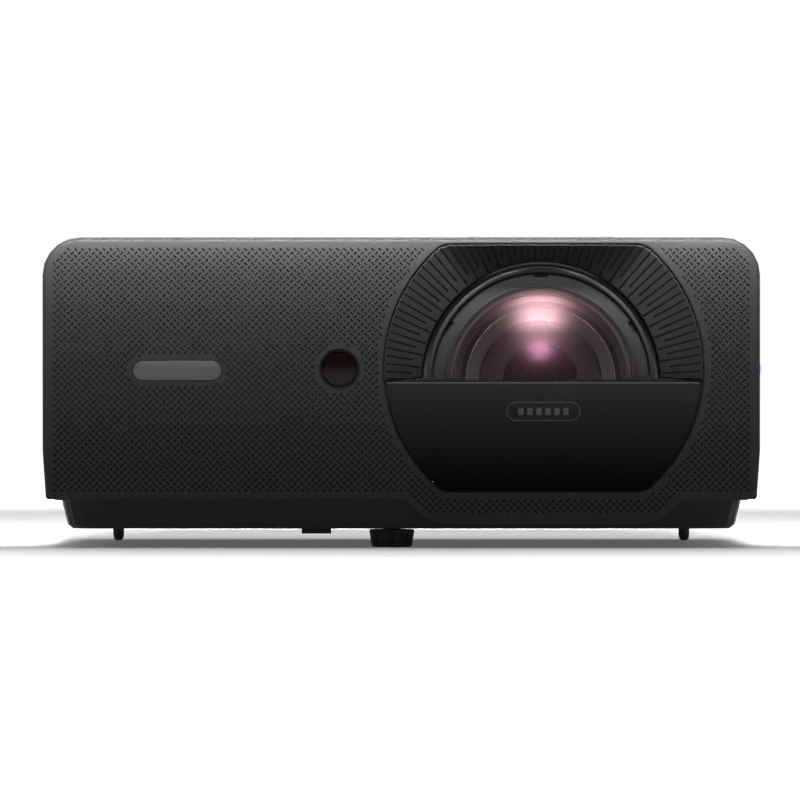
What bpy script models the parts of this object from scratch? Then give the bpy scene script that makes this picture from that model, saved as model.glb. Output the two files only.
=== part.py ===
"""Home projector with a short-throw lens, modelled as the assembly of its separate parts.

Metres, +Z up. The front, where the light leaves, faces -Y, and +X is to the right as seen from the front.
The origin is on the table, under the middle of the case. Each mesh object is one part at rest.
"""

import math

import bmesh
import bpy
from mathutils import Matrix, Vector

MM = 0.001

# ---------------------------------------------------------------- driving dimensions
BODY_WIDTH = 335 * MM
BODY_DEPTH = 271 * MM
TOP_Z = 144.9 * MM
SHELL_Z = 22.3 * MM  # underside of the upper case
TRAY_Z = 9 * MM  # underside of the tray
WALL = 2.5 * MM
GAP = 0.3 * MM  # between parts that meet

HALF_WIDTH = BODY_WIDTH / 2
FRONT_Y = -BODY_DEPTH / 2
BACK_Y = BODY_DEPTH / 2
CORNER_RADIUS = 17.5 * MM
SIDE_TAPER = 1.5 * MM
TAPER_Z = 45.7 * MM

BEZEL_DEPTH = 13 * MM
BEZEL_PLATE = 3 * MM
BEZEL_INSET = 0.6 * MM
BEZEL_BACK_Y = FRONT_Y + BEZEL_DEPTH
COVER_FRONT_Y = BEZEL_BACK_Y + GAP

TRAY_HALF_WIDTH = 158.7 * MM
TRAY_HALF_DEPTH = 131.5 * MM
TRAY_SLOPE = 3.3 * MM
TRAY_CORNER = 14 * MM
TRAY_RIM_Z = 28 * MM

LENS_X = 65.3 * MM
LENS_Z = 77.8 * MM
MOUTH_X = 66.3 * MM  # the barrel-shaped mouth in the bezel round the lens
MOUTH_Z = 83.8 * MM
MOUTH_RADIUS = 74.6 * MM
MOUTH_HALF_HEIGHT = 57.8 * MM
MOUTH_FILLET = 11 * MM
CHIN_OFFSET = 14.8 * MM  # the bezel's chin follows the mouth at this distance
SHELF_Z = 77.3 * MM  # front edge of the shelf on the lens cover
SHELF_RISE = 1.9 * MM
FUNNEL_BACK_Y = -118 * MM
FUNNEL_RADIUS = 55.6 * MM

SENSOR_X, SENSOR_Z = -28.8 * MM, 83.3 * MM
FRONT_FOOT_X, FRONT_FOOT_Y = -4.4 * MM, -100 * MM
REAR_FOOT_X, REAR_FOOT_Y = 138 * MM, 85 * MM
PILLAR_X, PILLAR_Y = 148 * MM, (-105 * MM, 100 * MM)
CEILING_X, CEILING_Y = 95 * MM, (-60 * MM, 70 * MM)
REAR_PANEL_Y = 129 * MM
ROUND_STEPS = 32
SMALL_STEPS = 16

# ---------------------------------------------------------------- scene and helpers


def clear_scene():
    """Removes every object that is in the scene."""
    for item in list(bpy.data.objects):
        bpy.data.objects.remove(item, do_unlink=True)


def new_collection(name):
    """Returns a new collection linked to the scene."""
    made = bpy.data.collections.new(name)
    bpy.context.scene.collection.children.link(made)
    return made


clear_scene()
PARTS = new_collection("home_projector")
CUTTERS = new_collection("cutters")
CUTTERS.hide_render = True


def material(name, colour, roughness, metallic=0.0):
    """Returns a Principled material."""
    made = bpy.data.materials.new(name)
    made.use_nodes = True
    shader = made.node_tree.nodes["Principled BSDF"]
    shader.inputs["Base Color"].default_value = (*colour, 1.0)
    shader.inputs["Roughness"].default_value = roughness
    shader.inputs["Metallic"].default_value = metallic
    made.diffuse_color = (*colour, 1.0)
    return made


CASE_BLACK = material("case_black", (0.028, 0.028, 0.03), 0.55)
SATIN_BLACK = material("satin_black", (0.012, 0.012, 0.013), 0.28)
FUNNEL_BLACK = material("funnel_black", (0.03, 0.03, 0.031), 0.6)
LENS_BLACK = material("lens_black", (0.03, 0.03, 0.03), 0.45)
LENS_METAL = material("lens_metal", (0.30, 0.29, 0.28), 0.35, 1.0)
GLASS = material("coated_glass", (0.75, 0.55, 0.62), 0.03)
BADGE_GREY = material("badge_grey", (0.16, 0.16, 0.165), 0.4)
INFRARED = material("infrared_window", (0.03, 0.008, 0.009), 0.08)
BLUE_LIGHT = material("blue_light", (0.38, 0.45, 0.95), 0.2)
KEY_BLACK = material("key_black", (0.05, 0.05, 0.052), 0.5)
RUBBER = material("rubber", (0.02, 0.02, 0.02), 0.8)
STEEL = material("steel", (0.45, 0.45, 0.46), 0.35, 1.0)
ALUMINIUM = material("aluminium", (0.62, 0.63, 0.65), 0.4, 1.0)
COPPER = material("copper", (0.72, 0.35, 0.2), 0.3, 1.0)
BOARD_GREEN = material("board_green", (0.02, 0.14, 0.06), 0.5)
SOCKET_BLACK = material("socket_black", (0.02, 0.02, 0.022), 0.6)
PHOSPHOR = material("phosphor", (0.85, 0.75, 0.2), 0.5)


def link(name, mesh, look, collection=PARTS):
    """Returns a new object holding the mesh, in the collection and with the material."""
    made = bpy.data.objects.new(name, mesh)
    collection.objects.link(made)
    if look is not None:
        mesh.materials.append(look)
    if collection is CUTTERS:
        made.hide_render = True
        made.display_type = "WIRE"
    return made


def from_bmesh(name, bm, look, collection=PARTS, smooth=False):
    """Returns an object made from the bmesh, with its faces pointing out."""
    bmesh.ops.recalc_face_normals(bm, faces=bm.faces)
    mesh = bpy.data.meshes.new(name)
    bm.to_mesh(mesh)
    bm.free()
    if smooth:
        mesh.shade_smooth()
        mesh.set_sharp_from_angle(angle=math.radians(35))
    return link(name, mesh, look, collection)


def box_bmesh(low, high):
    """Returns a box between two corners."""
    bm = bmesh.new()
    low, high = Vector(low), Vector(high)
    bmesh.ops.create_cube(bm, size=1.0)
    bmesh.ops.scale(bm, vec=high - low, verts=bm.verts)
    bmesh.ops.translate(bm, vec=(low + high) / 2, verts=bm.verts)
    return bm


def box(name, low, high, look=None, collection=PARTS):
    """Returns a box object between two corners."""
    return from_bmesh(name, box_bmesh(low, high), look, collection)


def rounded_path(corners, segments=4, closed=True):
    """Returns the points of a path of straight runs, with an arc of its own radius at each corner.

    corners holds (u, v, radius). An open path keeps its two ends as they are.
    """
    points = []
    count = len(corners)
    for i, (u, v, radius) in enumerate(corners):
        here = Vector((u, v))
        at_end = not closed and i in (0, count - 1)
        if radius <= 0 or at_end:
            points.append(here)
            continue
        before = Vector(corners[i - 1][:2])
        after = Vector(corners[(i + 1) % count][:2])
        to_before, to_after = (before - here).normalized(), (after - here).normalized()
        half = to_before.angle(to_after) / 2
        centre = here + (to_before + to_after).normalized() * radius / math.sin(half)
        start = here + to_before * radius / math.tan(half) - centre
        sweep = start.angle_signed(here + to_after * radius / math.tan(half) - centre)
        for k in range(segments + 1):
            angle = -sweep * k / segments
            turned = Matrix.Rotation(angle, 2) @ start
            points.append(centre + turned)
    return points


def rounded_rectangle(low, high, radius, segments=4):
    """Returns the outline of a rectangle with four round corners."""
    (u0, v0), (u1, v1) = low, high
    return rounded_path([(u0, v0, radius), (u1, v0, radius), (u1, v1, radius), (u0, v1, radius)], segments)


def mouth_outline(offset, side_segments=8, fillet_segments=3, flat_segments=1):
    """Returns the outline of the lens mouth, a circle cut flat above and below, grown by offset."""
    radius = MOUTH_RADIUS + offset
    height = MOUTH_HALF_HEIGHT + offset
    fillet = MOUTH_FILLET + offset
    flat = math.sqrt(radius**2 - height**2 - 2 * fillet * (radius - height))
    side_end = math.atan2(height - fillet, flat)
    points = []
    for side in (0, 1):
        turn = Matrix.Rotation(math.pi * side, 2)
        for k in range(side_segments + 1):
            angle = side_end * (2 * k / side_segments - 1)
            points.append(turn @ Vector((radius * math.cos(angle), radius * math.sin(angle))))
        corner = []
        for k in range(1, fillet_segments + 1):
            angle = side_end + (math.pi / 2 - side_end) * k / fillet_segments
            corner.append((flat + fillet * math.cos(angle), height - fillet + fillet * math.sin(angle)))
        along = [(flat * (1 - 2 * k / flat_segments), height) for k in range(1, flat_segments)]
        mirrored = [(-u, v) for u, v in reversed(corner)]
        points += [turn @ Vector(p) for p in corner + along + mirrored]
    centre = Vector((MOUTH_X, MOUTH_Z))
    return [centre + p for p in points]


def circle_outline(u, v, radius, steps=SMALL_STEPS):
    """Returns the points of a circle."""
    turns = [2 * math.pi * k / steps for k in range(steps)]
    return [Vector((u + radius * math.cos(a), v + radius * math.sin(a))) for a in turns]


def upright(u, v, w):
    """Places an outline's point in the XZ plane, w being the depth along Y."""
    return Vector((u, w, v))


def lying(u, v, w):
    """Places an outline's point in the XY plane, w being the height along Z."""
    return Vector((u, v, w))


def sideways(u, v, w):
    """Places an outline's point in the YZ plane, w being the place along X."""
    return Vector((w, u, v))


def prism_bmesh(outline, start, end, place=upright):
    """Returns a closed prism: the outline at start, extruded to end."""
    bm = bmesh.new()
    face = bm.faces.new([bm.verts.new(place(p.x, p.y, start)) for p in outline])
    extruded = bmesh.ops.extrude_face_region(bm, geom=[face])
    moved = [g for g in extruded["geom"] if isinstance(g, bmesh.types.BMVert)]
    bmesh.ops.translate(bm, vec=place(0, 0, end) - place(0, 0, start), verts=moved)
    bmesh.ops.recalc_face_normals(bm, faces=bm.faces)
    return bm


def prism(name, outline, start, end, look=None, place=upright, collection=PARTS):
    """Returns a prism object."""
    return from_bmesh(name, prism_bmesh(outline, start, end, place), look, collection)


def round_rim(bm, axis, level, width, segments=2):
    """Bevels the edges that lie on the plane where the axis coordinate is level."""
    rim = [e for e in bm.edges if all(abs(v.co[axis] - level) < GAP / 10 for v in e.verts)]
    bmesh.ops.bevel(bm, geom=rim, offset=width, segments=segments, profile=0.5, affect="EDGES", material=-1)


def cylinder(name, radius, base, top, look=None, axis="Z", collection=PARTS, steps=SMALL_STEPS):
    """Returns a cylinder from base to top, two points in line with the axis."""
    bm = bmesh.new()
    base, top = Vector(base), Vector(top)
    bmesh.ops.create_cone(
        bm, cap_ends=True, segments=steps, radius1=radius, radius2=radius, depth=(top - base).length
    )
    turn = {"X": Matrix.Rotation(math.pi / 2, 3, "Y"), "Y": Matrix.Rotation(math.pi / 2, 3, "X")}
    if axis in turn:
        bmesh.ops.rotate(bm, verts=bm.verts, matrix=turn[axis])
    bmesh.ops.translate(bm, vec=(base + top) / 2, verts=bm.verts)
    return from_bmesh(name, bm, look, collection, smooth=True)


def turned(name, profile, look, place=(0, 0, 0), axis="Z", steps=ROUND_STEPS, closed=True, collection=PARTS):
    """Returns a turned part: a profile of (radius, height) about the axis.

    A closed profile stays off the axis; an open one starts and ends on it. The object's origin is on the axis.
    axis Y points the profile's height to the front.
    """
    bm = bmesh.new()
    after = profile[1:] + profile[:1]
    turning = sum(r0 * h1 - r1 * h0 for (r0, h0), (r1, h1) in zip(profile, after, strict=True))
    if turning > 0:
        profile = list(reversed(profile))
    verts = [bm.verts.new((radius, 0, height)) for radius, height in profile]
    pairs = list(zip(verts, verts[1:], strict=False))
    if closed:
        pairs.append((verts[-1], verts[0]))
    for a, b in pairs:
        bm.edges.new((a, b))
    mesh = bpy.data.meshes.new(name)
    bm.to_mesh(mesh)
    bm.free()
    made = link(name, mesh, look, collection)
    made.location = place
    made.rotation_euler = {"X": (0, math.pi / 2, 0), "Y": (math.pi / 2, 0, 0), "Z": (0, 0, 0)}[axis]
    screw = made.modifiers.new("turn", "SCREW")
    screw.steps = screw.render_steps = steps
    screw.use_merge_vertices = True
    screw.merge_threshold = 0.00001
    screw.use_normal_calculate = False
    screw.use_smooth_shade = True
    return made


def modify(target, other, operation):
    """Adds a Boolean to the target."""
    boolean = target.modifiers.new(operation.lower(), "BOOLEAN")
    boolean.operation = operation
    boolean.object = other
    boolean.solver = "EXACT"


def cut(target, *cutters):
    """Cuts each cutter out of the target."""
    for cutter in cutters:
        modify(target, cutter, "DIFFERENCE")


def join(target, *pieces):
    """Joins helper solids to the target."""
    for piece in pieces:
        modify(target, piece, "UNION")


def cut_box(target, low, high):
    """Cuts a box out of the target."""
    cut(target, box("cut_" + target.name, low, high, collection=CUTTERS))


def cut_prism(target, outline, start, end, place=upright):
    """Cuts a prism out of the target."""
    cut(target, prism("cut_" + target.name, outline, start, end, place=place, collection=CUTTERS))


def cut_hole(target, radius, base, top, axis="Z", steps=SMALL_STEPS):
    """Drills a round hole in the target."""
    cut(target, cylinder("hole_" + target.name, radius, base, top, axis=axis, collection=CUTTERS, steps=steps))


# ---------------------------------------------------------------- case


def case_corners(inset, low_z, corner_low):
    """Returns the corners of the case's front outline, inset all round."""
    half = HALF_WIDTH - inset
    high_z = TOP_Z - inset
    radius = CORNER_RADIUS - inset
    return [
        (-half + SIDE_TAPER, low_z, corner_low),
        (half - SIDE_TAPER, low_z, corner_low),
        (half, TAPER_Z, 0),
        (half, high_z, radius),
        (-half, high_z, radius),
        (-half, TAPER_Z, 0),
    ]


def front_bezel():
    """The moulded front: a plate with a skirt, a chin below the lens, the mouth and the sensor's hole."""
    outline = rounded_path(case_corners(BEZEL_INSET, SHELL_Z, 6 * MM))
    bm = prism_bmesh(outline, FRONT_Y, BEZEL_BACK_Y)
    round_rim(bm, 1, FRONT_Y, 3 * MM)
    bezel = from_bmesh("front_bezel", bm, CASE_BLACK, smooth=True)
    plate_back = FRONT_Y + BEZEL_PLATE
    inner = rounded_path(case_corners(BEZEL_INSET + WALL, SHELL_Z + WALL, 4 * MM))
    cut_prism(bezel, inner, plate_back, BACK_Y)
    cut_box(bezel, (-160 * MM, plate_back, 0), (160 * MM, 0, 30 * MM))
    chin = prism_bmesh(mouth_outline(CHIN_OFFSET), FRONT_Y, plate_back + GAP)
    round_rim(chin, 1, FRONT_Y, 2 * MM)
    chin_piece = from_bmesh("chin", chin, None, CUTTERS)
    cut_box(chin_piece, (-HALF_WIDTH, -1, 40 * MM), (HALF_WIDTH, 1, 1))
    join(bezel, chin_piece)
    cut_prism(bezel, mouth_outline(0), -1, 0)
    cut_prism(bezel, mouth_outline(1.2 * MM), FRONT_Y + 1.2 * MM, 0)
    sensor_front, sensor_back = 9.65 * MM, 8.3 * MM
    bm = bmesh.new()
    depth = BEZEL_PLATE + 4 * MM
    flare = (sensor_front - sensor_back) / BEZEL_PLATE * 2 * MM
    bmesh.ops.create_cone(
        bm,
        cap_ends=True,
        segments=20,
        radius1=sensor_front + flare,
        radius2=sensor_back - flare,
        depth=depth,
    )
    bmesh.ops.rotate(bm, verts=bm.verts, matrix=Matrix.Rotation(-math.pi / 2, 3, "X"))
    bmesh.ops.translate(bm, vec=(SENSOR_X, FRONT_Y + BEZEL_PLATE / 2, SENSOR_Z), verts=bm.verts)
    cut(bezel, from_bmesh("sensor_hole", bm, None, CUTTERS))
    badge_hole = rounded_rectangle((-125.4 * MM, 77.7 * MM), (-83.4 * MM, 87.7 * MM), 4.9 * MM, 3)
    cut_prism(bezel, badge_hole, -1, FRONT_Y + 0.9 * MM)
    return bezel


def nameplate():
    """A plain capsule-shaped plate let into the bezel."""
    outline = rounded_rectangle((-125 * MM, 78.1 * MM), (-83.8 * MM, 87.3 * MM), 4.5 * MM, 4)
    return prism("nameplate", outline, FRONT_Y - 0.3 * MM, FRONT_Y + 0.6 * MM, BADGE_GREY)


def sensor_window():
    """The round infrared window beside the lens."""
    front = FRONT_Y + 2 * MM
    return cylinder(
        "sensor_window",
        7.9 * MM,
        (SENSOR_X, front, SENSOR_Z),
        (SENSOR_X, front + 3 * MM, SENSOR_Z),
        INFRARED,
        axis="Y",
        steps=24,
    )


GRILLE_Z = (48 * MM, 118 * MM)
GRILLES = {"left": (-1, -92 * MM, 72 * MM), "right": (1, -60 * MM, 104 * MM)}
WINDOW_HALF = 36 * MM
WINDOW_Y = (-116 * MM, -62 * MM)
STATUS_Y, STATUS_Z = -104 * MM, 83.1 * MM


def top_cover():
    """The upper case: one bent wall from lip to lip over the top, with its pillars and openings."""
    low = SHELL_Z + GAP
    lip = TRAY_HALF_WIDTH + 0.5 * MM
    foot = HALF_WIDTH - SIDE_TAPER
    half = [(lip, low, 0), (foot, low, 1.6 * MM), (HALF_WIDTH, TAPER_Z, 0), (HALF_WIDTH, TOP_Z, CORNER_RADIUS)]
    corners = [(-u, v, r) for u, v, r in half] + list(reversed(half))
    bm = bmesh.new()
    path = [bm.verts.new((p.x, COVER_FRONT_Y, p.y)) for p in rounded_path(corners, 5, closed=False)]
    edges = [bm.edges.new(pair) for pair in zip(path, path[1:], strict=False)]
    extruded = bmesh.ops.extrude_edge_only(bm, edges=edges)
    moved = [g for g in extruded["geom"] if isinstance(g, bmesh.types.BMVert)]
    bmesh.ops.translate(bm, vec=(0, BACK_Y - COVER_FRONT_Y, 0), verts=moved)
    mesh = bpy.data.meshes.new("top_cover")
    bm.to_mesh(mesh)
    bm.free()
    cover = link("top_cover", mesh, CASE_BLACK)
    wall = cover.modifiers.new("wall", "SOLIDIFY")
    wall.thickness = WALL
    top = max(mesh.polygons, key=lambda face: face.center.z)
    wall.offset = -1 if top.normal.z > 0 else 1
    wall.use_even_offset = True

    for name, (side, y0, y1) in GRILLES.items():
        inner, outer = sorted((side * (HALF_WIDTH - 8 * MM), side * (HALF_WIDTH + 8 * MM)))
        cut_box(cover, (inner, y0, GRILLE_Z[0]), (outer, y1, GRILLE_Z[1]))
    window = rounded_rectangle(
        (LENS_X - WINDOW_HALF, WINDOW_Y[0]), (LENS_X + WINDOW_HALF, WINDOW_Y[1]), 6 * MM, 3
    )
    cut_prism(cover, window, TOP_Z - 10 * MM, TOP_Z + 10 * MM, lying)
    cut_hole(cover, 3.6 * MM, (HALF_WIDTH - 9 * MM, STATUS_Y, STATUS_Z), (HALF_WIDTH + 9 * MM, STATUS_Y, STATUS_Z), "X")
    for name, (x, y, size) in ROUND_KEYS.items():
        cut_hole(cover, size + GAP, (x, y, TOP_Z - 9 * MM), (x, y, TOP_Z + 9 * MM), steps=20)
    for name, (x, y, half_x, half_y) in ARROW_KEYS.items():
        hole = rounded_rectangle((x - half_x - GAP, y - half_y - GAP), (x + half_x + GAP, y + half_y + GAP), 3 * MM, 2)
        cut_prism(cover, hole, TOP_Z - 9 * MM, TOP_Z + 9 * MM, lying)
    for x in (-PILLAR_X, PILLAR_X):
        for y in PILLAR_Y:
            pillar = cylinder(
                "pillar", 4 * MM, (x, y, 21 * MM), (x, y, TOP_Z - 1 * MM), collection=CUTTERS, steps=12
            )
            join(cover, pillar)
            cut_hole(cover, 1.8 * MM, (x, y, 15 * MM), (x, y, 36 * MM), steps=8)
    return cover


def window_trim():
    """The sloping trim of the opening over the lens rings."""
    edge = WINDOW_HALF - GAP
    (y0, y1), floor_z, slope = WINDOW_Y, 136.6 * MM, 3 * MM
    bm = box_bmesh((LENS_X - edge, y0 + GAP, floor_z), (LENS_X + edge, y1 - GAP, TOP_Z - 0.4 * MM))
    corners = [e for e in bm.edges if abs(e.verts[0].co.z - e.verts[1].co.z) > MM]
    bmesh.ops.bevel(bm, geom=corners, offset=5.7 * MM, segments=3, profile=0.5, affect="EDGES", material=-1)
    caps = [f for f in bm.faces if abs(f.normal.z) > 0.9]
    bmesh.ops.delete(bm, geom=caps, context="FACES_ONLY")
    middle = Vector((LENS_X, (y0 + y1) / 2, 0))
    low = [v for v in bm.verts if v.co.z < floor_z + MM]
    shrink = Vector((1 - slope / edge, 1 - slope / ((y1 - y0) / 2), 1))
    bmesh.ops.scale(bm, vec=shrink, verts=low, space=Matrix.Translation(-middle))
    bmesh.ops.recalc_face_normals(bm, faces=bm.faces)
    trim = from_bmesh("window_trim", bm, SATIN_BLACK)
    wall = trim.modifiers.new("wall", "SOLIDIFY")
    wall.thickness = 1.5 * MM
    wall.offset = -1
    wall.use_even_offset = True
    return trim


def side_grille(name, side, y0, y1):
    """A louvred vent plate let into one side of the case."""
    z0, z1 = GRILLE_Z[0] + GAP, GRILLE_Z[1] - GAP
    outer, inner = side * (HALF_WIDTH - 0.3 * MM), side * (HALF_WIDTH - 2.5 * MM)
    low, high = sorted((outer, inner))
    grille = box(name, (low, y0 + GAP, z0), (high, y1 - GAP, z1), CASE_BLACK)
    rows, columns = 8, 3
    margin, bar = 5 * MM, 4 * MM
    width = (y1 - y0 - 2 * margin - (columns - 1) * bar) / columns
    pitch = (z1 - z0 - margin) / rows
    slots = bmesh.new()
    for row in range(rows):
        for column in range(columns):
            start = y0 + margin + column * (width + bar)
            floor = z0 + margin + row * pitch
            made = bmesh.ops.create_cube(slots, size=1.0)["verts"]
            bmesh.ops.scale(slots, vec=(20 * MM, width, pitch - margin), verts=made)
            middle = ((low + high) / 2, start + width / 2, floor + (pitch - margin) / 2)
            bmesh.ops.translate(slots, vec=middle, verts=made)
    cut(grille, from_bmesh("slots_" + name, slots, None, CUTTERS))
    return grille


def bottom_tray():
    """The lower case: a tapered tray with the bosses for feet, screws and ceiling mount."""
    bm = box_bmesh(
        (-TRAY_HALF_WIDTH, -TRAY_HALF_DEPTH, TRAY_Z), (TRAY_HALF_WIDTH, TRAY_HALF_DEPTH, SHELL_Z)
    )
    upright_edges = [e for e in bm.edges if abs(e.verts[0].co.z - e.verts[1].co.z) > MM]
    bmesh.ops.bevel(
        bm, geom=upright_edges, offset=TRAY_CORNER, segments=4, profile=0.5, affect="EDGES", material=-1
    )
    shrink = (1 - TRAY_SLOPE / TRAY_HALF_WIDTH, 1 - TRAY_SLOPE / TRAY_HALF_DEPTH, 1)
    bmesh.ops.scale(bm, vec=shrink, verts=[v for v in bm.verts if v.co.z < TRAY_Z + MM])
    bm.normal_update()
    bmesh.ops.delete(bm, geom=[f for f in bm.faces if f.normal.z > 0.9], context="FACES_ONLY")
    rim = bmesh.ops.extrude_edge_only(bm, edges=[e for e in bm.edges if e.is_boundary])
    raised = [g for g in rim["geom"] if isinstance(g, bmesh.types.BMVert)]
    bmesh.ops.translate(bm, vec=(0, 0, TRAY_RIM_Z - SHELL_Z), verts=raised)
    round_rim(bm, 2, TRAY_Z, 2 * MM, 1)
    tray = from_bmesh("bottom_tray", bm, CASE_BLACK, smooth=True)
    middle = tray.data.polygons[0]
    wall = tray.modifiers.new("wall", "SOLIDIFY")
    wall.thickness = WALL
    outward = middle.normal.dot(middle.center - Vector((0, 0, 20 * MM))) > 0
    wall.offset = -1 if outward else 1
    wall.use_even_offset = True

    for x, y, radius, height, bore in boss_list():
        boss = cylinder(
            "boss", radius, (x, y, TRAY_Z + MM), (x, y, TRAY_Z + height), collection=CUTTERS, steps=SMALL_STEPS
        )
        join(tray, boss)
        cut_hole(tray, bore, (x, y, 0), (x, y, TRAY_Z + height + 5 * MM), steps=SMALL_STEPS)
    for x in (-PILLAR_X, PILLAR_X):
        for y in PILLAR_Y:
            cut_hole(tray, 3.8 * MM, (x, y, 0), (x, y, TRAY_Z + 5 * MM), steps=SMALL_STEPS)
    anchor = (-46.5 * MM, -122 * MM, 6.6 * MM), (-32.8 * MM, -110 * MM, TRAY_Z + MM)
    join(tray, box("lock_anchor", *anchor, None, CUTTERS))
    cut_box(tray, (-43.2 * MM, -117.5 * MM, 0), (-36.2 * MM, -112.5 * MM, 15 * MM))
    join(tray, box("lock_bar", (-44 * MM, -115.8 * MM, 6.6 * MM), (-35 * MM, -114 * MM, 8.6 * MM), None, CUTTERS))
    return tray


def boss_list():
    """Returns (x, y, radius, height, bore radius) of each boss that stands in the tray."""
    bosses = [(FRONT_FOOT_X, FRONT_FOOT_Y, 7 * MM, 11 * MM, 4.3 * MM)]
    bosses += [(x, REAR_FOOT_Y, 5 * MM, 10 * MM, 2.8 * MM) for x in (-REAR_FOOT_X, REAR_FOOT_X)]
    for x in (-PILLAR_X, PILLAR_X):
        bosses += [(x, y, 6 * MM, 11.5 * MM, 1.8 * MM) for y in PILLAR_Y]
    for x in (-CEILING_X, CEILING_X):
        bosses += [(x, y, 5 * MM, 9 * MM, 2 * MM) for y in CEILING_Y]
    return bosses


def case_screws():
    """The four screws that hold the tray to the pillars of the top cover."""
    number = 0
    for y in PILLAR_Y:
        for x in (-PILLAR_X, PILLAR_X):
            number += 1
            head, shank = 3.2 * MM, 1.5 * MM
            under, seat, tip = 11.4 * MM, 13.6 * MM, 34 * MM
            profile = [(0, tip), (shank, tip), (shank, seat), (head, seat), (head, under + 0.6 * MM)]
            profile += [(head - 1 * MM, under), (0, under)]
            turned(f"case_screw_{number}", profile, STEEL, (x, y, 0), steps=12, closed=False)


# ---------------------------------------------------------------- lens mouth and cover


def lens_funnel():
    """The ribless cone between the mouth of the bezel and the lens barrel, above the shelf."""
    front = mouth_outline(-0.7 * MM, 10, 4, 8)
    lens = Vector((LENS_X, LENS_Z))
    bm = bmesh.new()
    front_ring = [bm.verts.new(upright(p.x, p.y, FRONT_Y + 1.5 * MM)) for p in front]
    back_ring = []
    for p in front:
        q = lens + (p - lens).normalized() * FUNNEL_RADIUS
        back_ring.append(bm.verts.new(upright(q.x, q.y, FUNNEL_BACK_Y)))
    count = len(front)
    loops = [[bm.edges.new((ring[i], ring[(i + 1) % count])) for i in range(count)] for ring in (front_ring, back_ring)]
    bmesh.ops.bridge_loops(bm, edges=loops[0] + loops[1])
    funnel = from_bmesh("lens_funnel", bm, FUNNEL_BLACK)
    first = funnel.data.polygons[0]
    towards_lens = Vector((LENS_X, 0, LENS_Z)) - first.center
    towards_lens.y = 0
    wall = funnel.modifiers.new("wall", "SOLIDIFY")
    wall.thickness = 1.2 * MM
    wall.offset = -1 if first.normal.dot(towards_lens) > 0 else 1
    wall.use_even_offset = True
    cut(funnel, shelf_space("below_shelf", 90 * MM, 0.3 * MM))
    return funnel


def shelf_space(name, drop, lift, look=None, collection=CUTTERS):
    """Returns a slab under the shelf's sloping top plane, drop thick, its top raised by lift."""
    front, back = FRONT_Y - 10 * MM, -100 * MM
    slope = SHELF_RISE / (FUNNEL_BACK_Y - FRONT_Y)
    z_front = SHELF_Z + lift + slope * (front - FRONT_Y)
    z_back = SHELF_Z + lift + slope * (back - FRONT_Y)
    side = [Vector((front, z_front - drop)), Vector((back, z_back - drop)), Vector((back, z_back))]
    side.append(Vector((front, z_front)))
    return prism(name, side, -20 * MM, 160 * MM, look, sideways, collection)


def lens_cover():
    """The dark half cover in front of the lower half of the lens, with the shelf behind its top edge."""
    plate = prism("lens_cover", mouth_outline(-0.7 * MM), FRONT_Y + 0.6 * MM, FRONT_Y + 2.8 * MM, SATIN_BLACK)
    cut_box(plate, (-HALF_WIDTH, -1, SHELF_Z), (HALF_WIDTH, 1, 1))
    back = FUNNEL_BACK_Y - 1.8 * MM
    lens = Vector((LENS_X, LENS_Z))
    half_front = 72.5 * MM
    half_back = FUNNEL_RADIUS + 1 * MM
    corners = [(LENS_X - half_front, FRONT_Y + 1.6 * MM), (LENS_X + half_front + 1.5 * MM, FRONT_Y + 1.6 * MM)]
    corners += [(LENS_X + half_back, back), (LENS_X - half_back, back)]
    outline = [Vector(c) for c in corners]
    shelf = prism("shelf", outline, 60 * MM, 90 * MM, place=lying, collection=CUTTERS)
    modify(shelf, shelf_space("shelf_slab", 1.8 * MM, 0), "INTERSECT")
    bm = bmesh.new()
    bmesh.ops.create_uvsphere(bm, u_segments=32, v_segments=24, radius=GLASS_BALL + 3 * MM)
    bmesh.ops.translate(bm, vec=(lens.x, -GLASS_FRONT + GLASS_BALL, lens.y), verts=bm.verts)
    cut(shelf, from_bmesh("glass_room", bm, None, CUTTERS))
    join(plate, shelf)
    return plate


# ---------------------------------------------------------------- lens
# Profiles are (radius, distance in front of the world's XZ plane), about the optical axis.

GLASS_RADIUS = 43.4 * MM
GLASS_FRONT = 128.5 * MM
GLASS_SAG = 11.5 * MM
GLASS_BALL = (GLASS_RADIUS**2 + GLASS_SAG**2) / (2 * GLASS_SAG)
LENS_PLACE = (LENS_X, 0, LENS_Z)


def on_axis(name, profile, look, closed=True, steps=ROUND_STEPS):
    """Returns a part turned about the optical axis, from a profile in millimetres."""
    scaled = [(radius * MM, distance * MM) for radius, distance in profile]
    return turned(name, scaled, look, LENS_PLACE, "Y", steps, closed)


def dome(front, radius, ball, segments):
    """Returns profile points in millimetres, from the axis out, on a ball whose foremost point is at front."""
    return [
        (radius * k / segments, front - (ball - math.sqrt(ball**2 - (radius * k / segments) ** 2)))
        for k in range(segments + 1)
    ]


def lens_element(name, front, radius, ball, thickness, edge, segments=5, steps=ROUND_STEPS):
    """Returns a meniscus lens: two domes and a ground edge. Values are in millimetres."""
    outer = dome(front, radius, ball, segments)
    inner = dome(front - thickness, radius, ball * 0.9, max(2, segments - 1))
    rim = min(outer[-1][1] - edge, inner[-1][1])
    inner[-1] = (radius, rim)
    return on_axis(name, outer + list(reversed(inner)), GLASS, closed=False, steps=steps)


def lens_barrel():
    """The fixed barrel, from its front lip to the flange on the optical engine."""
    profile = [(52.6, 119.2), (53.2, 118.6), (53.2, 108.9), (49.5, 108.9), (49.5, 29), (58, 29), (58, 24.4)]
    profile += [(36.3, 24.4), (36.3, 56), (46.6, 56), (46.6, 111.4), (50.9, 111.4), (50.9, 118.6), (51.5, 119.2)]
    return on_axis("lens_barrel", profile, LENS_BLACK)


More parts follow.
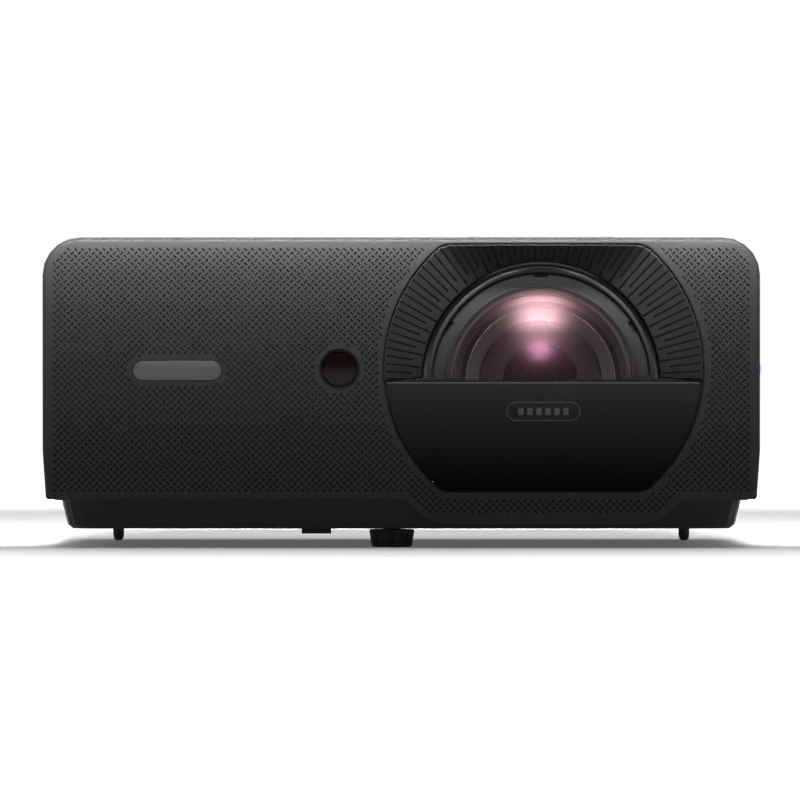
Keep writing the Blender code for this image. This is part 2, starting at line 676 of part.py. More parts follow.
def front_trim_ring():
    """The flat ring round the front glass, with six bayonet notches in its edge."""
    profile = [(50.3, 116.6), (50.3, 111.9), (46.4, 111.9), (46.4, 113.2), (43.9, 113.2), (43.9, 117.4)]
    ring = on_axis("front_trim_ring", profile, LENS_BLACK, steps=60)
    notches = bmesh.new()
    for k in range(6):
        angle = math.radians(30 + 60 * k)
        made = bmesh.ops.create_cube(notches, size=1.0)["verts"]
        bmesh.ops.scale(notches, vec=(6.7 * MM, 6 * MM, 4.4 * MM), verts=made)
        bmesh.ops.translate(notches, vec=(0, -119 * MM, 50.6 * MM), verts=made)
        turn = Matrix.Rotation(math.pi / 2 - angle, 3, "Y")
        bmesh.ops.rotate(notches, verts=made, matrix=turn)
        bmesh.ops.translate(notches, vec=LENS_PLACE, verts=made)
    cut(ring, from_bmesh("notches", notches, None, CUTTERS))
    return ring


def lens_baffle():
    """The stepped rings seen through the front glass, which also hold the second element."""
    profile = [(45.9, 111.6), (45.9, 94), (40, 94), (30.5, 94), (28.9, 94), (28.9, 97.5), (34.9, 103.5)]
    profile += [(35.2, 101.5), (37.4, 101.5), (37.6, 105.5), (41, 108.4), (41.6, 107.6), (42.8, 108.6), (43.4, 111.6)]
    return on_axis("lens_baffle", profile, LENS_METAL)


def zoom_cell():
    """The sliding cell behind the front group, which carries the third element."""
    profile = [(46.2, 76), (46.2, 62), (17.9, 62), (17.9, 66), (26, 74), (30, 76)]
    return on_axis("zoom_cell", profile, LENS_BLACK, steps=24)


def lens_ring(name, inner, outer, start, end, ribs):
    """Returns a ribbed ring that turns on the barrel, with a low finger tab at its top."""
    place_y = -(start + end) / 2
    half = (end - start) / 2
    bm = bmesh.new()
    steps = ribs * 4
    for k in range(steps):
        angle = 2 * math.pi * k / steps
        radius = outer if k % 4 in (0, 1) else outer - 0.9
        point = Vector((radius * math.sin(angle), -half, radius * math.cos(angle))) * MM
        bm.verts.new(point + Vector((0, 0, 0)))
    bm.verts.ensure_lookup_table()
    face = bm.faces.new(list(bm.verts))
    for v in bm.verts:
        v.co.y = -half * MM
    extruded = bmesh.ops.extrude_face_region(bm, geom=[face])
    moved = [g for g in extruded["geom"] if isinstance(g, bmesh.types.BMVert)]
    bmesh.ops.translate(bm, vec=(0, 2 * half * MM, 0), verts=moved)
    ring = from_bmesh(name, bm, KEY_BLACK)
    ring.location = (LENS_X, place_y * MM, LENS_Z)
    tab_low, tab_high = (outer - 3) * MM, (outer + 1.8) * MM
    tab = box("tab_" + name, (-4 * MM, -half * 0.7 * MM, tab_low), (4 * MM, half * 0.7 * MM, tab_high), None, CUTTERS)
    tab.location = ring.location
    join(ring, tab)
    hole = cylinder("hole_" + name, inner * MM, (0, -20 * MM, 0), (0, 20 * MM, 0), axis="Y", collection=CUTTERS, steps=ROUND_STEPS)
    hole.location = ring.location
    cut(ring, hole)
    return ring


def lens():
    """The whole lens: barrel, rings, cells and three elements."""
    lens_barrel()
    front_trim_ring()
    lens_baffle()
    lens_element("front_glass", GLASS_FRONT / MM, GLASS_RADIUS / MM, GLASS_BALL / MM, 3.4, 1.6, 6)
    lens_element("second_glass", 104, 28.5, 42, 3, 2, 4, 24)
    zoom_cell()
    lens_ring("focus_ring", 49.8, 56.4, 92, 108, 20)
    lens_ring("zoom_ring", 49.8, 55.4, 68, 84, 20)


# ---------------------------------------------------------------- keys on the top

KEY_TOP = TOP_Z + 0.8 * MM
FLANGE_TOP = TOP_Z - WALL - 0.4 * MM
FLANGE_LOW = FLANGE_TOP - 2 * MM
PAD_X, PAD_Y = -92 * MM, 74 * MM
ROUND_KEYS = {
    "ok_key": (PAD_X, PAD_Y, 5.5 * MM),
    "power_key": (-48 * MM, PAD_Y, 6.5 * MM),
    "source_key": (-124 * MM, PAD_Y + 9 * MM, 4.5 * MM),
    "back_key": (-124 * MM, PAD_Y - 9 * MM, 4.5 * MM),
}
ARROW_KEYS = {
    "up_key": (PAD_X, PAD_Y + 13 * MM, 5.5 * MM, 4 * MM),
    "down_key": (PAD_X, PAD_Y - 13 * MM, 5.5 * MM, 4 * MM),
    "left_key": (PAD_X - 13 * MM, PAD_Y, 4 * MM, 5.5 * MM),
    "right_key": (PAD_X + 13 * MM, PAD_Y, 4 * MM, 5.5 * MM),
}


def keys():
    """The eight keys, each held under the top by its flange."""
    for name, (x, y, radius) in ROUND_KEYS.items():
        wide = radius + 1 * MM
        profile = [(0, KEY_TOP), (radius - 0.5 * MM, KEY_TOP), (radius, KEY_TOP - 0.5 * MM), (radius, FLANGE_TOP)]
        profile += [(wide, FLANGE_TOP), (wide, FLANGE_LOW), (0, FLANGE_LOW)]
        turned(name, profile, KEY_BLACK, (x, y, 0), steps=20, closed=False)
    for name, (x, y, half_x, half_y) in ARROW_KEYS.items():
        cap = rounded_rectangle((x - half_x, y - half_y), (x + half_x, y + half_y), 2.7 * MM, 2)
        key = prism(name, cap, FLANGE_LOW, KEY_TOP, KEY_BLACK, lying)
        rim = 0.6 * MM
        flange = rounded_rectangle((x - half_x - rim, y - half_y - rim), (x + half_x + rim, y + half_y + rim), 3 * MM, 2)
        join(key, prism("flange_" + name, flange, FLANGE_LOW + 0.2 * MM, FLANGE_TOP, None, lying, CUTTERS))
    box("key_board", (-134 * MM, 50 * MM, 136.4 * MM), (-36 * MM, 98 * MM, 138 * MM), BOARD_GREEN)


# ---------------------------------------------------------------- feet


def foot(name, x, y, profile, look, washer):
    """Returns a screw-in foot and the washer held under its head, both turned about the foot's axis."""
    scaled = [(radius * MM, height * MM) for radius, height in profile]
    made = turned(name, scaled, look, (x, y, 0), steps=24, closed=False)
    inner, outer, low, high = (value * MM for value in washer)
    ring = [(outer, high), (outer, low), (inner, low), (inner, high)]
    turned(name + "_washer", ring, STEEL, (x, y, 0), steps=16)
    return made


def feet():
    """The fluted front foot and the two slim rear feet."""
    knob = [(0, 40), (6.2, 40), (6.2, 38.4), (4, 38.4), (4, 8.4), (10.6, 8.4), (10.6, 7.6), (9.6, 1), (8.6, 0), (0, 0)]
    front = foot("front_foot", FRONT_FOOT_X, FRONT_FOOT_Y, knob, RUBBER, (4.3, 6.6, 36.4, 38.1))
    flutes = bmesh.new()
    for k in range(8):
        made = bmesh.ops.create_cube(flutes, size=1.0)["verts"]
        bmesh.ops.scale(flutes, vec=(2 * MM, 1.4 * MM, 8 * MM), verts=made)
        bmesh.ops.translate(flutes, vec=(10.7 * MM, 0, 2 * MM), verts=made)
        bmesh.ops.rotate(flutes, verts=made, matrix=Matrix.Rotation(math.pi / 4 * k - math.pi / 2, 3, "Z"))
        bmesh.ops.translate(flutes, vec=(FRONT_FOOT_X, FRONT_FOOT_Y, 0), verts=made)
    cut(front, from_bmesh("flutes", flutes, None, CUTTERS))
    pin = [(0, 31), (4, 31), (4, 29.6), (2.5, 29.6), (2.5, 8.4), (2.7, 8.4), (2.6, 2.6), (2.2, 1.1), (1.4, 0), (0, 0)]
    for name, x in (("rear_foot_left", -REAR_FOOT_X), ("rear_foot_right", REAR_FOOT_X)):
        foot(name, x, REAR_FOOT_Y, pin, RUBBER, (2.8, 4.4, 28, 29.3))


def status_light():
    """The domed blue light guide in the right side."""
    reach = HALF_WIDTH / MM
    profile = [(0, reach + 1.3), (1.8, reach + 1.0), (3.3, reach - 0.2), (3.3, reach - 4), (0, reach - 4)]
    scaled = [(radius * MM, height * MM) for radius, height in profile]
    return turned(
        "status_light", scaled, BLUE_LIGHT, (0, STATUS_Y, STATUS_Z), "X", steps=16, closed=False
    )


# ---------------------------------------------------------------- rear panel and sockets

SOCKET_Z = 62 * MM
BOARD_Y = 110 * MM
SOCKET_END = REAR_PANEL_Y + 2.3 * MM
# name: (x, half width, half height, cavity half width, cavity half height, tongue half width, tongue z, tongue half)
FLAT_SOCKETS = {
    "video_socket_1": (12, 7.6, 3.2, 7.0, 2.4, 5.4, 0.5, 0.6),
    "video_socket_2": (34, 7.6, 3.2, 7.0, 2.4, 5.4, 0.5, 0.6),
    "usb_socket": (56, 7.2, 3.6, 6.4, 2.7, 5.6, 0.9, 1.0),
}
AUDIO_X, SERIAL_X = 76 * MM, 106 * MM
INLET_X, INLET_Z = -112 * MM, 52 * MM
REAR_SLOTS = 12


def rear_panel():
    """The recessed back plate with its socket openings and vent slots."""
    low_z, high_z = TRAY_RIM_Z + 0.4 * MM, TOP_Z - WALL - GAP
    half = HALF_WIDTH - WALL - 2 * GAP
    radius = CORNER_RADIUS - WALL
    corners = [(-half + 1.5 * MM, low_z, 1 * MM), (half - 1.5 * MM, low_z, 1 * MM), (half, TAPER_Z, 0)]
    corners += [(half, high_z, radius), (-half, high_z, radius), (-half, TAPER_Z, 0)]
    outline = rounded_path(corners, 4)
    panel = prism("rear_panel", outline, REAR_PANEL_Y, REAR_PANEL_Y + WALL, CASE_BLACK)
    for x, half_x, half_z, *_ in FLAT_SOCKETS.values():
        centre = x * MM
        reach_x, reach_z = half_x * MM + GAP, half_z * MM + GAP
        cut_box(panel, (centre - reach_x, 0, SOCKET_Z - reach_z), (centre + reach_x, 1, SOCKET_Z + reach_z))
    cut_hole(panel, 3.9 * MM, (AUDIO_X, 0.1, SOCKET_Z), (AUDIO_X, 0.2, SOCKET_Z), "Y")
    cut_prism(panel, serial_outline(GAP), 0, 1)
    reach = 12.9 * MM
    cut_box(panel, (INLET_X - 14 * MM, 0, INLET_Z - reach + 3 * MM), (INLET_X + 14 * MM, 1, INLET_Z + reach - 3 * MM))
    slots = bmesh.new()
    for k in range(REAR_SLOTS):
        made = bmesh.ops.create_cube(slots, size=1.0)["verts"]
        bmesh.ops.scale(slots, vec=(4 * MM, 20 * MM, 34 * MM), verts=made)
        bmesh.ops.translate(slots, vec=(-140 * MM + k * 8 * MM, REAR_PANEL_Y, 106 * MM), verts=made)
    cut(panel, from_bmesh("rear_slots", slots, None, CUTTERS))
    return panel


def serial_outline(offset):
    """Returns the D-shaped outline of the serial socket's shell, grown by offset."""
    wide, narrow, half = 9.2 * MM + offset, 8.1 * MM + offset, 4.2 * MM + offset
    corners = [(-narrow, -half), (narrow, -half), (wide, half), (-wide, half)]
    return rounded_path([(SERIAL_X + u, SOCKET_Z + v, 1.6 * MM) for u, v in corners], 2)


def sockets():
    """The sockets on the input board, and the mains inlet."""
    for name, values in FLAT_SOCKETS.items():
        x, half_x, half_z, room_x, room_z, tongue_x, tongue_z, tongue_half = (value * MM for value in values)
        start = BOARD_Y + 2 * MM
        low, high = (x - half_x, start, SOCKET_Z - half_z), (x + half_x, SOCKET_END, SOCKET_Z + half_z)
        socket = box(name, low, high, STEEL)
        mouth = SOCKET_END - 9 * MM
        cut_box(socket, (x - room_x, mouth, SOCKET_Z - room_z), (x + room_x, 1, SOCKET_Z + room_z))
        tongue_low = (x - tongue_x, mouth - MM, SOCKET_Z + tongue_z - tongue_half)
        tongue_high = (x + tongue_x, SOCKET_END - 1.5 * MM, SOCKET_Z + tongue_z + tongue_half)
        join(socket, box("tongue_" + name, tongue_low, tongue_high, None, CUTTERS))
    audio = box(
        "audio_socket",
        (AUDIO_X - 5 * MM, BOARD_Y + 2 * MM, SOCKET_Z - 5 * MM),
        (AUDIO_X + 5 * MM, REAR_PANEL_Y - GAP, SOCKET_Z + 5 * MM),
        SOCKET_BLACK,
    )
    collar = (AUDIO_X, REAR_PANEL_Y - 2 * MM, SOCKET_Z), (AUDIO_X, SOCKET_END + 0.6 * MM, SOCKET_Z)
    join(audio, cylinder("collar", 3.6 * MM, *collar, axis="Y", collection=CUTTERS))
    cut_hole(audio, 1.8 * MM, (AUDIO_X, SOCKET_END - 14 * MM, SOCKET_Z), (AUDIO_X, 0.2, SOCKET_Z), "Y", 12)

    serial = prism("serial_socket", serial_outline(0), REAR_PANEL_Y - 3 * MM, REAR_PANEL_Y + 6 * MM, STEEL)
    block = (SERIAL_X - 15 * MM, BOARD_Y + 2 * MM, SOCKET_Z - 6 * MM), (SERIAL_X + 15 * MM, REAR_PANEL_Y - GAP, SOCKET_Z + 6 * MM)
    join(serial, box("serial_block", *block, None, CUTTERS))
    cut_prism(serial, serial_outline(-0.8 * MM), REAR_PANEL_Y - 1 * MM, 1)

    inlet_low = (INLET_X - 13.7 * MM, BOARD_Y, INLET_Z - 9.6 * MM)
    inlet_high = (INLET_X + 13.7 * MM, SOCKET_END, INLET_Z + 9.6 * MM)
    inlet = box("power_inlet", inlet_low, inlet_high, SOCKET_BLACK)
    floor = SOCKET_END - 15 * MM
    room = rounded_path(
        [
            (INLET_X - 12 * MM, INLET_Z - 8 * MM, 1 * MM),
            (INLET_X + 12 * MM, INLET_Z - 8 * MM, 1 * MM),
            (INLET_X + 12 * MM, INLET_Z + 4 * MM, 0),
            (INLET_X + 8 * MM, INLET_Z + 8 * MM, 0),
            (INLET_X - 8 * MM, INLET_Z + 8 * MM, 0),
            (INLET_X - 12 * MM, INLET_Z + 4 * MM, 0),
        ],
        2,
    )
    cut_prism(inlet, room, floor, 1)
    for x, z in ((-7, -4.4), (0, -1.6), (7, -4.4)):
        low = (INLET_X + (x - 1) * MM, floor - MM, INLET_Z + (z - 2) * MM)
        high = (INLET_X + (x + 1) * MM, floor + 11.5 * MM, INLET_Z + (z + 2) * MM)
        join(inlet, box("blade", low, high, None, CUTTERS))
    box("input_board", (0, BOARD_Y - 1.6 * MM, 45 * MM), (126 * MM, BOARD_Y, 104 * MM), BOARD_GREEN)


# ---------------------------------------------------------------- inside

FAN_HALF = 35 * MM
FAN_Z = 80 * MM
FANS = {"front_fan": -50 * MM, "rear_fan": 25 * MM}
FAN_X = (-160 * MM, -140 * MM)


def fans():
    """The two exhaust fans behind the left grille, each a frame and a rotor."""
    for name, y in FANS.items():
        square = rounded_rectangle((y - FAN_HALF, FAN_Z - FAN_HALF), (y + FAN_HALF, FAN_Z + FAN_HALF), 3 * MM, 1)
        frame = prism(name + "_frame", square, *FAN_X, SOCKET_BLACK, sideways)
        inner_end = FAN_X[1] - 3 * MM
        cut_prism(frame, circle_outline(y, FAN_Z, 32.5 * MM, 24), FAN_X[0] - MM, inner_end, sideways)
        for quarter in range(4):
            turn = math.pi / 4 + quarter * math.pi / 2
            arc_points = []
            for radius, sweep in ((31 * MM, 0.62), (16 * MM, -0.5)):
                arc_points += [
                    Vector((y + radius * math.cos(turn + sweep * k), FAN_Z + radius * math.sin(turn + sweep * k)))
                    for k in (-1, 0, 1)
                ]
            cut_prism(frame, arc_points, FAN_X[0], 0, sideways)
        rotor = cylinder(
            name + "_rotor",
            13 * MM,
            (-159 * MM, y, FAN_Z),
            (inner_end - 0.5 * MM, y, FAN_Z),
            SOCKET_BLACK,
            axis="X",
            steps=SMALL_STEPS,
        )
        for blade in range(7):
            bm = box_bmesh((-7 * MM, -0.7 * MM, 11 * MM), (7 * MM, 0.7 * MM, 31.4 * MM))
            bmesh.ops.rotate(bm, verts=bm.verts, matrix=Matrix.Rotation(math.radians(35), 3, "Z"))
            bmesh.ops.rotate(bm, verts=bm.verts, matrix=Matrix.Rotation(2 * math.pi * blade / 7, 3, "X"))
            bmesh.ops.translate(bm, vec=(-151 * MM, y, FAN_Z), verts=bm.verts)
            join(rotor, from_bmesh("blade", bm, None, CUTTERS))
        move_origin(rotor, (-151 * MM, y, FAN_Z))


def move_origin(item, place):
    """Puts the object's origin at place, and leaves its mesh where it is."""
    item.data.transform(Matrix.Translation(-Vector(place)))
    item.location = place


def heat_sink(name, low, high, base, pitch, thickness):
    """Returns a finned block: a base plate with upright fins that run along X."""
    (x0, y0, z0), (x1, y1, z1) = low, high
    profile = [Vector((y0, z0)), Vector((y1, z0))]
    count = int((y1 - y0 - thickness) / pitch)
    step = (y1 - y0 - thickness) / count
    for k in range(count, -1, -1):
        y = y0 + k * step
        profile += [Vector((y + thickness, z1)), Vector((y, z1))]
        if k:
            profile += [Vector((y, z0 + base)), Vector((y0 + (k - 1) * step + thickness, z0 + base))]
    return prism(name, profile, x0, x1, ALUMINIUM, sideways)


def light_engine():
    """The laser, the phosphor wheel, the imaging engine and their coolers."""
    engine = box("optical_engine", (18 * MM, -22 * MM, 42 * MM), (114 * MM, 62 * MM, 114 * MM), ALUMINIUM)
    cut_hole(engine, 36 * MM, (LENS_X, -30 * MM, LENS_Z), (LENS_X, -8 * MM, LENS_Z), "Y", 24)
    sink = heat_sink("imager_heat_sink", (-26 * MM, 0, 0), (26 * MM, 50 * MM, 28 * MM), 3 * MM, 6 * MM, 1.2 * MM)
    sink.rotation_euler = (math.pi / 2, 0, math.pi / 2)
    sink.location = (117.2 * MM, 22 * MM, 54 * MM)
    box("laser_module", (-58 * MM, 0, 54 * MM), (-16 * MM, 56 * MM, 104 * MM), COPPER)
    heat_sink("laser_heat_sink", (-130 * MM, -20 * MM, 50 * MM), (-64 * MM, 56 * MM, 112 * MM), 4 * MM, 6.4 * MM, 1.2 * MM)
    data = bpy.data.curves.new("heat_pipe", "CURVE")
    data.dimensions = "3D"
    data.bevel_depth = 2.6 * MM
    data.bevel_resolution = 1
    data.use_fill_caps = True
    spline = data.splines.new("POLY")
    route = [(-126, 46.4), (-66, 46.4), (-60, 47.6), (-54, 50.6), (-20, 50.6)]
    spline.points.add(len(route) - 1)
    for point, (x, z) in zip(spline.points, route, strict=True):
        point.co = (x * MM, 28 * MM, z * MM, 1)
    pipe = bpy.data.objects.new("heat_pipe", data)
    PARTS.objects.link(pipe)
    data.materials.append(COPPER)
    wheel = [(24, 1), (24, 0), (5.4, 0), (5.4, 1)]
    turned("phosphor_wheel", [(r * MM, h * MM) for r, h in wheel], PHOSPHOR, (1 * MM, 28 * MM, 80 * MM), "X", 24)
    motor = [(0, 3), (3, 3), (3, 1.6), (5, 1.6), (5, -0.4), (9, -0.4), (9, -10), (0, -10)]
    scaled = [(r * MM, h * MM) for r, h in motor]
    turned("wheel_motor", scaled, STEEL, (1 * MM, 28 * MM, 80 * MM), "X", SMALL_STEPS, closed=False)


def electronics():
    """The boards, the power supply and the speaker."""
    board = box("main_board", (-126 * MM, -112 * MM, 120 * MM), (4 * MM, 40 * MM, 121.6 * MM), BOARD_GREEN)
    for x0, y0, x1, y1, height in ((-90, -60, -55, -25, 6), (-40, -90, -18, -68, 3), (-110, 0, -80, 25, 5)):
        chip = box("chip", (x0 * MM, y0 * MM, 121 * MM), (x1 * MM, y1 * MM, (121.6 + height) * MM), None, CUTTERS)
        join(board, chip)
    supply = box("power_supply", (-128 * MM, 62 * MM, 21 * MM), (-44 * MM, 106 * MM, 40 * MM), ALUMINIUM)
    upper = box("supply_top", (-98 * MM, 64 * MM, 39 * MM), (-48 * MM, 104 * MM, 70 * MM), None, CUTTERS)
    join(supply, upper)
    speaker = box("speaker", (-126 * MM, -118 * MM, 40 * MM), (-66 * MM, -92 * MM, 100 * MM), SOCKET_BLACK)
    ring = cylinder(
        "speaker_ring", 25 * MM, (-96 * MM, -118.5 * MM, 70 * MM), (-96 * MM, -114 * MM, 70 * MM), axis="Y", collection=CUTTERS, steps=24
    )
    cut(speaker, ring)
    cone = cylinder(
        "speaker_dome", 9 * MM, (-96 * MM, -116 * MM, 70 * MM), (-96 * MM, -110 * MM, 70 * MM), axis="Y", collection=CUTTERS
    )
    join(speaker, cone)


def main():
    """Builds every part."""
    front_bezel()
    nameplate()
    sensor_window()
    top_cover()
    window_trim()
    for name, (side, y0, y1) in GRILLES.items():
        side_grille(name + "_grille", side, y0, y1)
    bottom_tray()
    case_screws()
    lens_funnel()
    lens_cover()
    lens()
    keys()
    feet()
    status_light()
    rear_panel()
    sockets()
    fans()
    light_engine()
    electronics()


main()
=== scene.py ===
"""Looks of a short-throw home projector: the finished shapes, the finishes and the studio.

The front of the case faces -Y, and +X is to the right as seen from the front. Sizes are in metres.
"""

import logging
import math
from dataclasses import dataclass
from enum import Enum

import bmesh
import bpy
from mathutils import Matrix, Vector
from mathutils.geometry import delaunay_2d_cdt


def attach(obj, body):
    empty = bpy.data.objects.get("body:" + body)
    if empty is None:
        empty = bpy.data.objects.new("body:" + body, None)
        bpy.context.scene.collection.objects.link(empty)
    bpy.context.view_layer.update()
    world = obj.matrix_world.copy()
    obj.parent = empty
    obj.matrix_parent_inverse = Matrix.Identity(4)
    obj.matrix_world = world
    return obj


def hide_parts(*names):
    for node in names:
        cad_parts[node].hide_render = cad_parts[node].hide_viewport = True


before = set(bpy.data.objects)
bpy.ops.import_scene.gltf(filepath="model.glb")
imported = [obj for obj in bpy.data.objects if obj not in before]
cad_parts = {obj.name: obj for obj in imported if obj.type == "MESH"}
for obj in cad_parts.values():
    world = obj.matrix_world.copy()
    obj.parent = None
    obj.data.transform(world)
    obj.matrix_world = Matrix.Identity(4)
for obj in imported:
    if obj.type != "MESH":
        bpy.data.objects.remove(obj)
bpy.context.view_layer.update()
LOG = logging.getLogger("projector")
MM = 0.001
CASE = "case"


# ------------------------------------------------------------------ finishes


@dataclass(frozen=True)
class Finish:
    """A moulded, machined or painted surface.

    grain is the size of its fine texture in millimetres, and depth how far that texture stands out, in
    micrometres. mottle is how much the colour drifts, and drift the size of that drift in millimetres.
    unevenness is how far the roughness goes either way.
    """

    name: str
    slot: str
    colour: tuple[float, float, float]
    roughness: float
    metallic: float = 0.0
    grain: float = 0.5
    depth: float = 12.0
    mottle: float = 0.12
    drift: float = 22.0
    specular: float = 0.5
    coat: float = 0.0
    coat_roughness: float = 0.1
    glow: float = 0.0
    unevenness: float = 0.05

    def build(self) -> bpy.types.Material:
        """Makes the material, or returns it if it is made already.

        Returns:
            The material.
        """
        name = f"look_{self.name}"
        made = bpy.data.materials.get(name)
        if made:
            return made
        made = bpy.data.materials.new(name)
        made.use_nodes = True
        made.diffuse_color = (*self.colour, 1.0)
        nodes, links = made.node_tree.nodes, made.node_tree.links
        shader = nodes["Principled BSDF"]
        shader.inputs["Metallic"].default_value = self.metallic
        shader.inputs["Specular IOR Level"].default_value = self.specular
        shader.inputs["Coat Weight"].default_value = self.coat
        shader.inputs["Coat Roughness"].default_value = self.coat_roughness
        if self.glow:
            shader.inputs["Emission Color"].default_value = (*self.colour, 1.0)
            shader.inputs["Emission Strength"].default_value = self.glow
        place = nodes.new("ShaderNodeTexCoord").outputs["Object"]

        drift = self.noise(made.node_tree, place, 1 / (self.drift * MM), 3.0)
        low = tuple(c * (1 - self.mottle) for c in self.colour)
        high = tuple(min(1.0, c * (1 + self.mottle)) for c in self.colour)
        mix = nodes.new("ShaderNodeMix")
        mix.data_type = "RGBA"
        mix.inputs["A"].default_value = (*low, 1.0)
        mix.inputs["B"].default_value = (*high, 1.0)
        links.new(drift, mix.inputs["Factor"])
        links.new(mix.outputs["Result"], shader.inputs["Base Color"])

        grain = self.noise(made.node_tree, place, 1 / (self.grain * MM), 2.0)
        rough = nodes.new("ShaderNodeMapRange")
        rough.inputs["To Min"].default_value = max(0.02, self.roughness - self.unevenness)
        rough.inputs["To Max"].default_value = min(1.0, self.roughness + self.unevenness)
        links.new(grain, rough.inputs["Value"])
        links.new(rough.outputs["Result"], shader.inputs["Roughness"])
        bump = nodes.new("ShaderNodeBump")
        bump.inputs["Strength"].default_value = 0.6
        bump.inputs["Distance"].default_value = self.depth * MM * MM
        links.new(grain, bump.inputs["Height"])
        links.new(bump.outputs["Normal"], shader.inputs["Normal"])
        self.extend(made.node_tree, place, bump)
        return made

    def noise(
        self, tree: bpy.types.NodeTree, place: bpy.types.NodeSocket, scale: float, detail: float
    ) -> bpy.types.NodeSocket:
        """Adds a noise texture.

        Args:
            tree: the material's nodes and links.
            place: the coordinate socket.
            scale: features per metre.
            detail: octaves.

        Returns:
            Its value socket.
        """
        noise = tree.nodes.new("ShaderNodeTexNoise")
        noise.inputs["Scale"].default_value = scale
        noise.inputs["Detail"].default_value = detail
        tree.links.new(place, noise.inputs["Vector"])
        return noise.outputs["Fac"]

    def extend(self, tree: bpy.types.NodeTree, place: bpy.types.NodeSocket, bump: bpy.types.Node) -> None:
        """Lets a finish of a special kind add its own nodes.

        Args:
            tree: the material's nodes and links.
            place: the coordinate socket.
            bump: the node that holds the fine texture.
        """


@dataclass(frozen=True)
class Turned(Finish):
    """A metal or plastic surface with fine rings left by turning it about the lens axis.

    centre is a point on that axis, pitch the distance between rings in millimetres, ring_depth their depth
    in millimetres, and fringes how many rings the wave texture makes to its unit of scale.
    """

    centre: tuple[float, float, float] = (0.0, 0.0, 0.0)
    pitch: float = 0.35
    ring_depth: float = 0.012
    fringes: float = 3.1

    def extend(self, tree: bpy.types.NodeTree, place: bpy.types.NodeSocket, bump: bpy.types.Node) -> None:
        """Adds the rings to the bump.

        Args:
            tree: the material's nodes and links.
            place: the coordinate socket.
            bump: the node that holds the fine texture.
        """
        nodes, links = tree.nodes, tree.links
        shift = nodes.new("ShaderNodeMapping")
        shift.inputs["Location"].default_value = tuple(-c for c in self.centre)
        links.new(place, shift.inputs["Vector"])
        rings = nodes.new("ShaderNodeTexWave")
        rings.wave_type = "RINGS"
        rings.rings_direction = "Y"
        rings.inputs["Scale"].default_value = 1 / (self.pitch * MM) / self.fringes
        rings.inputs["Distortion"].default_value = 0.4
        links.new(shift.outputs["Vector"], rings.inputs["Vector"])
        second = nodes.new("ShaderNodeBump")
        second.inputs["Strength"].default_value = 0.3
        second.inputs["Distance"].default_value = self.ring_depth * MM
        links.new(rings.outputs["Fac"], second.inputs["Height"])
        links.new(bump.outputs["Normal"], second.inputs["Normal"])
        links.new(second.outputs["Normal"], nodes["Principled BSDF"].inputs["Normal"])


@dataclass(frozen=True)
class Glass(Finish):
    """A coated glass surface over the dark inside of the lens.

    alpha is how much it hides where it is looked at square on, edge how much more it hides at a slant, and
    tint the colour of its reflections.
    """

    alpha: float = 0.5
    edge: float = 0.35
    tint: tuple[float, float, float] = (0.9, 0.5, 0.65)

    def extend(self, tree: bpy.types.NodeTree, place: bpy.types.NodeSocket, bump: bpy.types.Node) -> None:
        """Makes the surface see-through, more so where it is looked at square on.

        Args:
            tree: the material's nodes and links.
            place: the coordinate socket.
            bump: the node that holds the fine texture.
        """
        nodes, links = tree.nodes, tree.links
        shader = nodes["Principled BSDF"]
        facing = nodes.new("ShaderNodeLayerWeight")
        facing.inputs["Blend"].default_value = 0.35
        hides = nodes.new("ShaderNodeMapRange")
        hides.inputs["To Min"].default_value = self.alpha
        hides.inputs["To Max"].default_value = min(1.0, self.alpha + self.edge)
        links.new(facing.outputs["Facing"], hides.inputs["Value"])
        links.new(hides.outputs["Result"], shader.inputs["Alpha"])
        shader.inputs["Specular Tint"].default_value = (*self.tint, 1.0)
        shader.inputs["IOR"].default_value = 1.6


@dataclass(frozen=True)
class PaintedShade(Finish):
    """A dark finish with painted shade: its colour darkens from the height high down to the height low."""

    low: float = 0.026
    high: float = 0.073
    deepest: float = 0.12

    def extend(self, tree: bpy.types.NodeTree, place: bpy.types.NodeSocket, bump: bpy.types.Node) -> None:
        """Paints shade: darkens the colour from the height high down to the height low.

        Args:
            tree: the material's nodes and links.
            place: the coordinate socket.
            bump: the node that holds the fine texture.
        """
        nodes, links = tree.nodes, tree.links
        shader = nodes["Principled BSDF"]
        parts = nodes.new("ShaderNodeSeparateXYZ")
        links.new(place, parts.inputs["Vector"])
        share = nodes.new("ShaderNodeMapRange")
        share.inputs["From Min"].default_value = self.low
        share.inputs["From Max"].default_value = self.high
        share.inputs["To Min"].default_value = self.deepest
        links.new(parts.outputs["Z"], share.inputs["Value"])
        # Painted shade: the colour's value falls to deepest at the height low.
        painted_shade = nodes.new("ShaderNodeHueSaturation")
        links.new(share.outputs["Result"], painted_shade.inputs["Value"])
        links.new(shader.inputs["Base Color"].links[0].from_socket, painted_shade.inputs["Color"])
        links.new(painted_shade.outputs["Color"], shader.inputs["Base Color"])


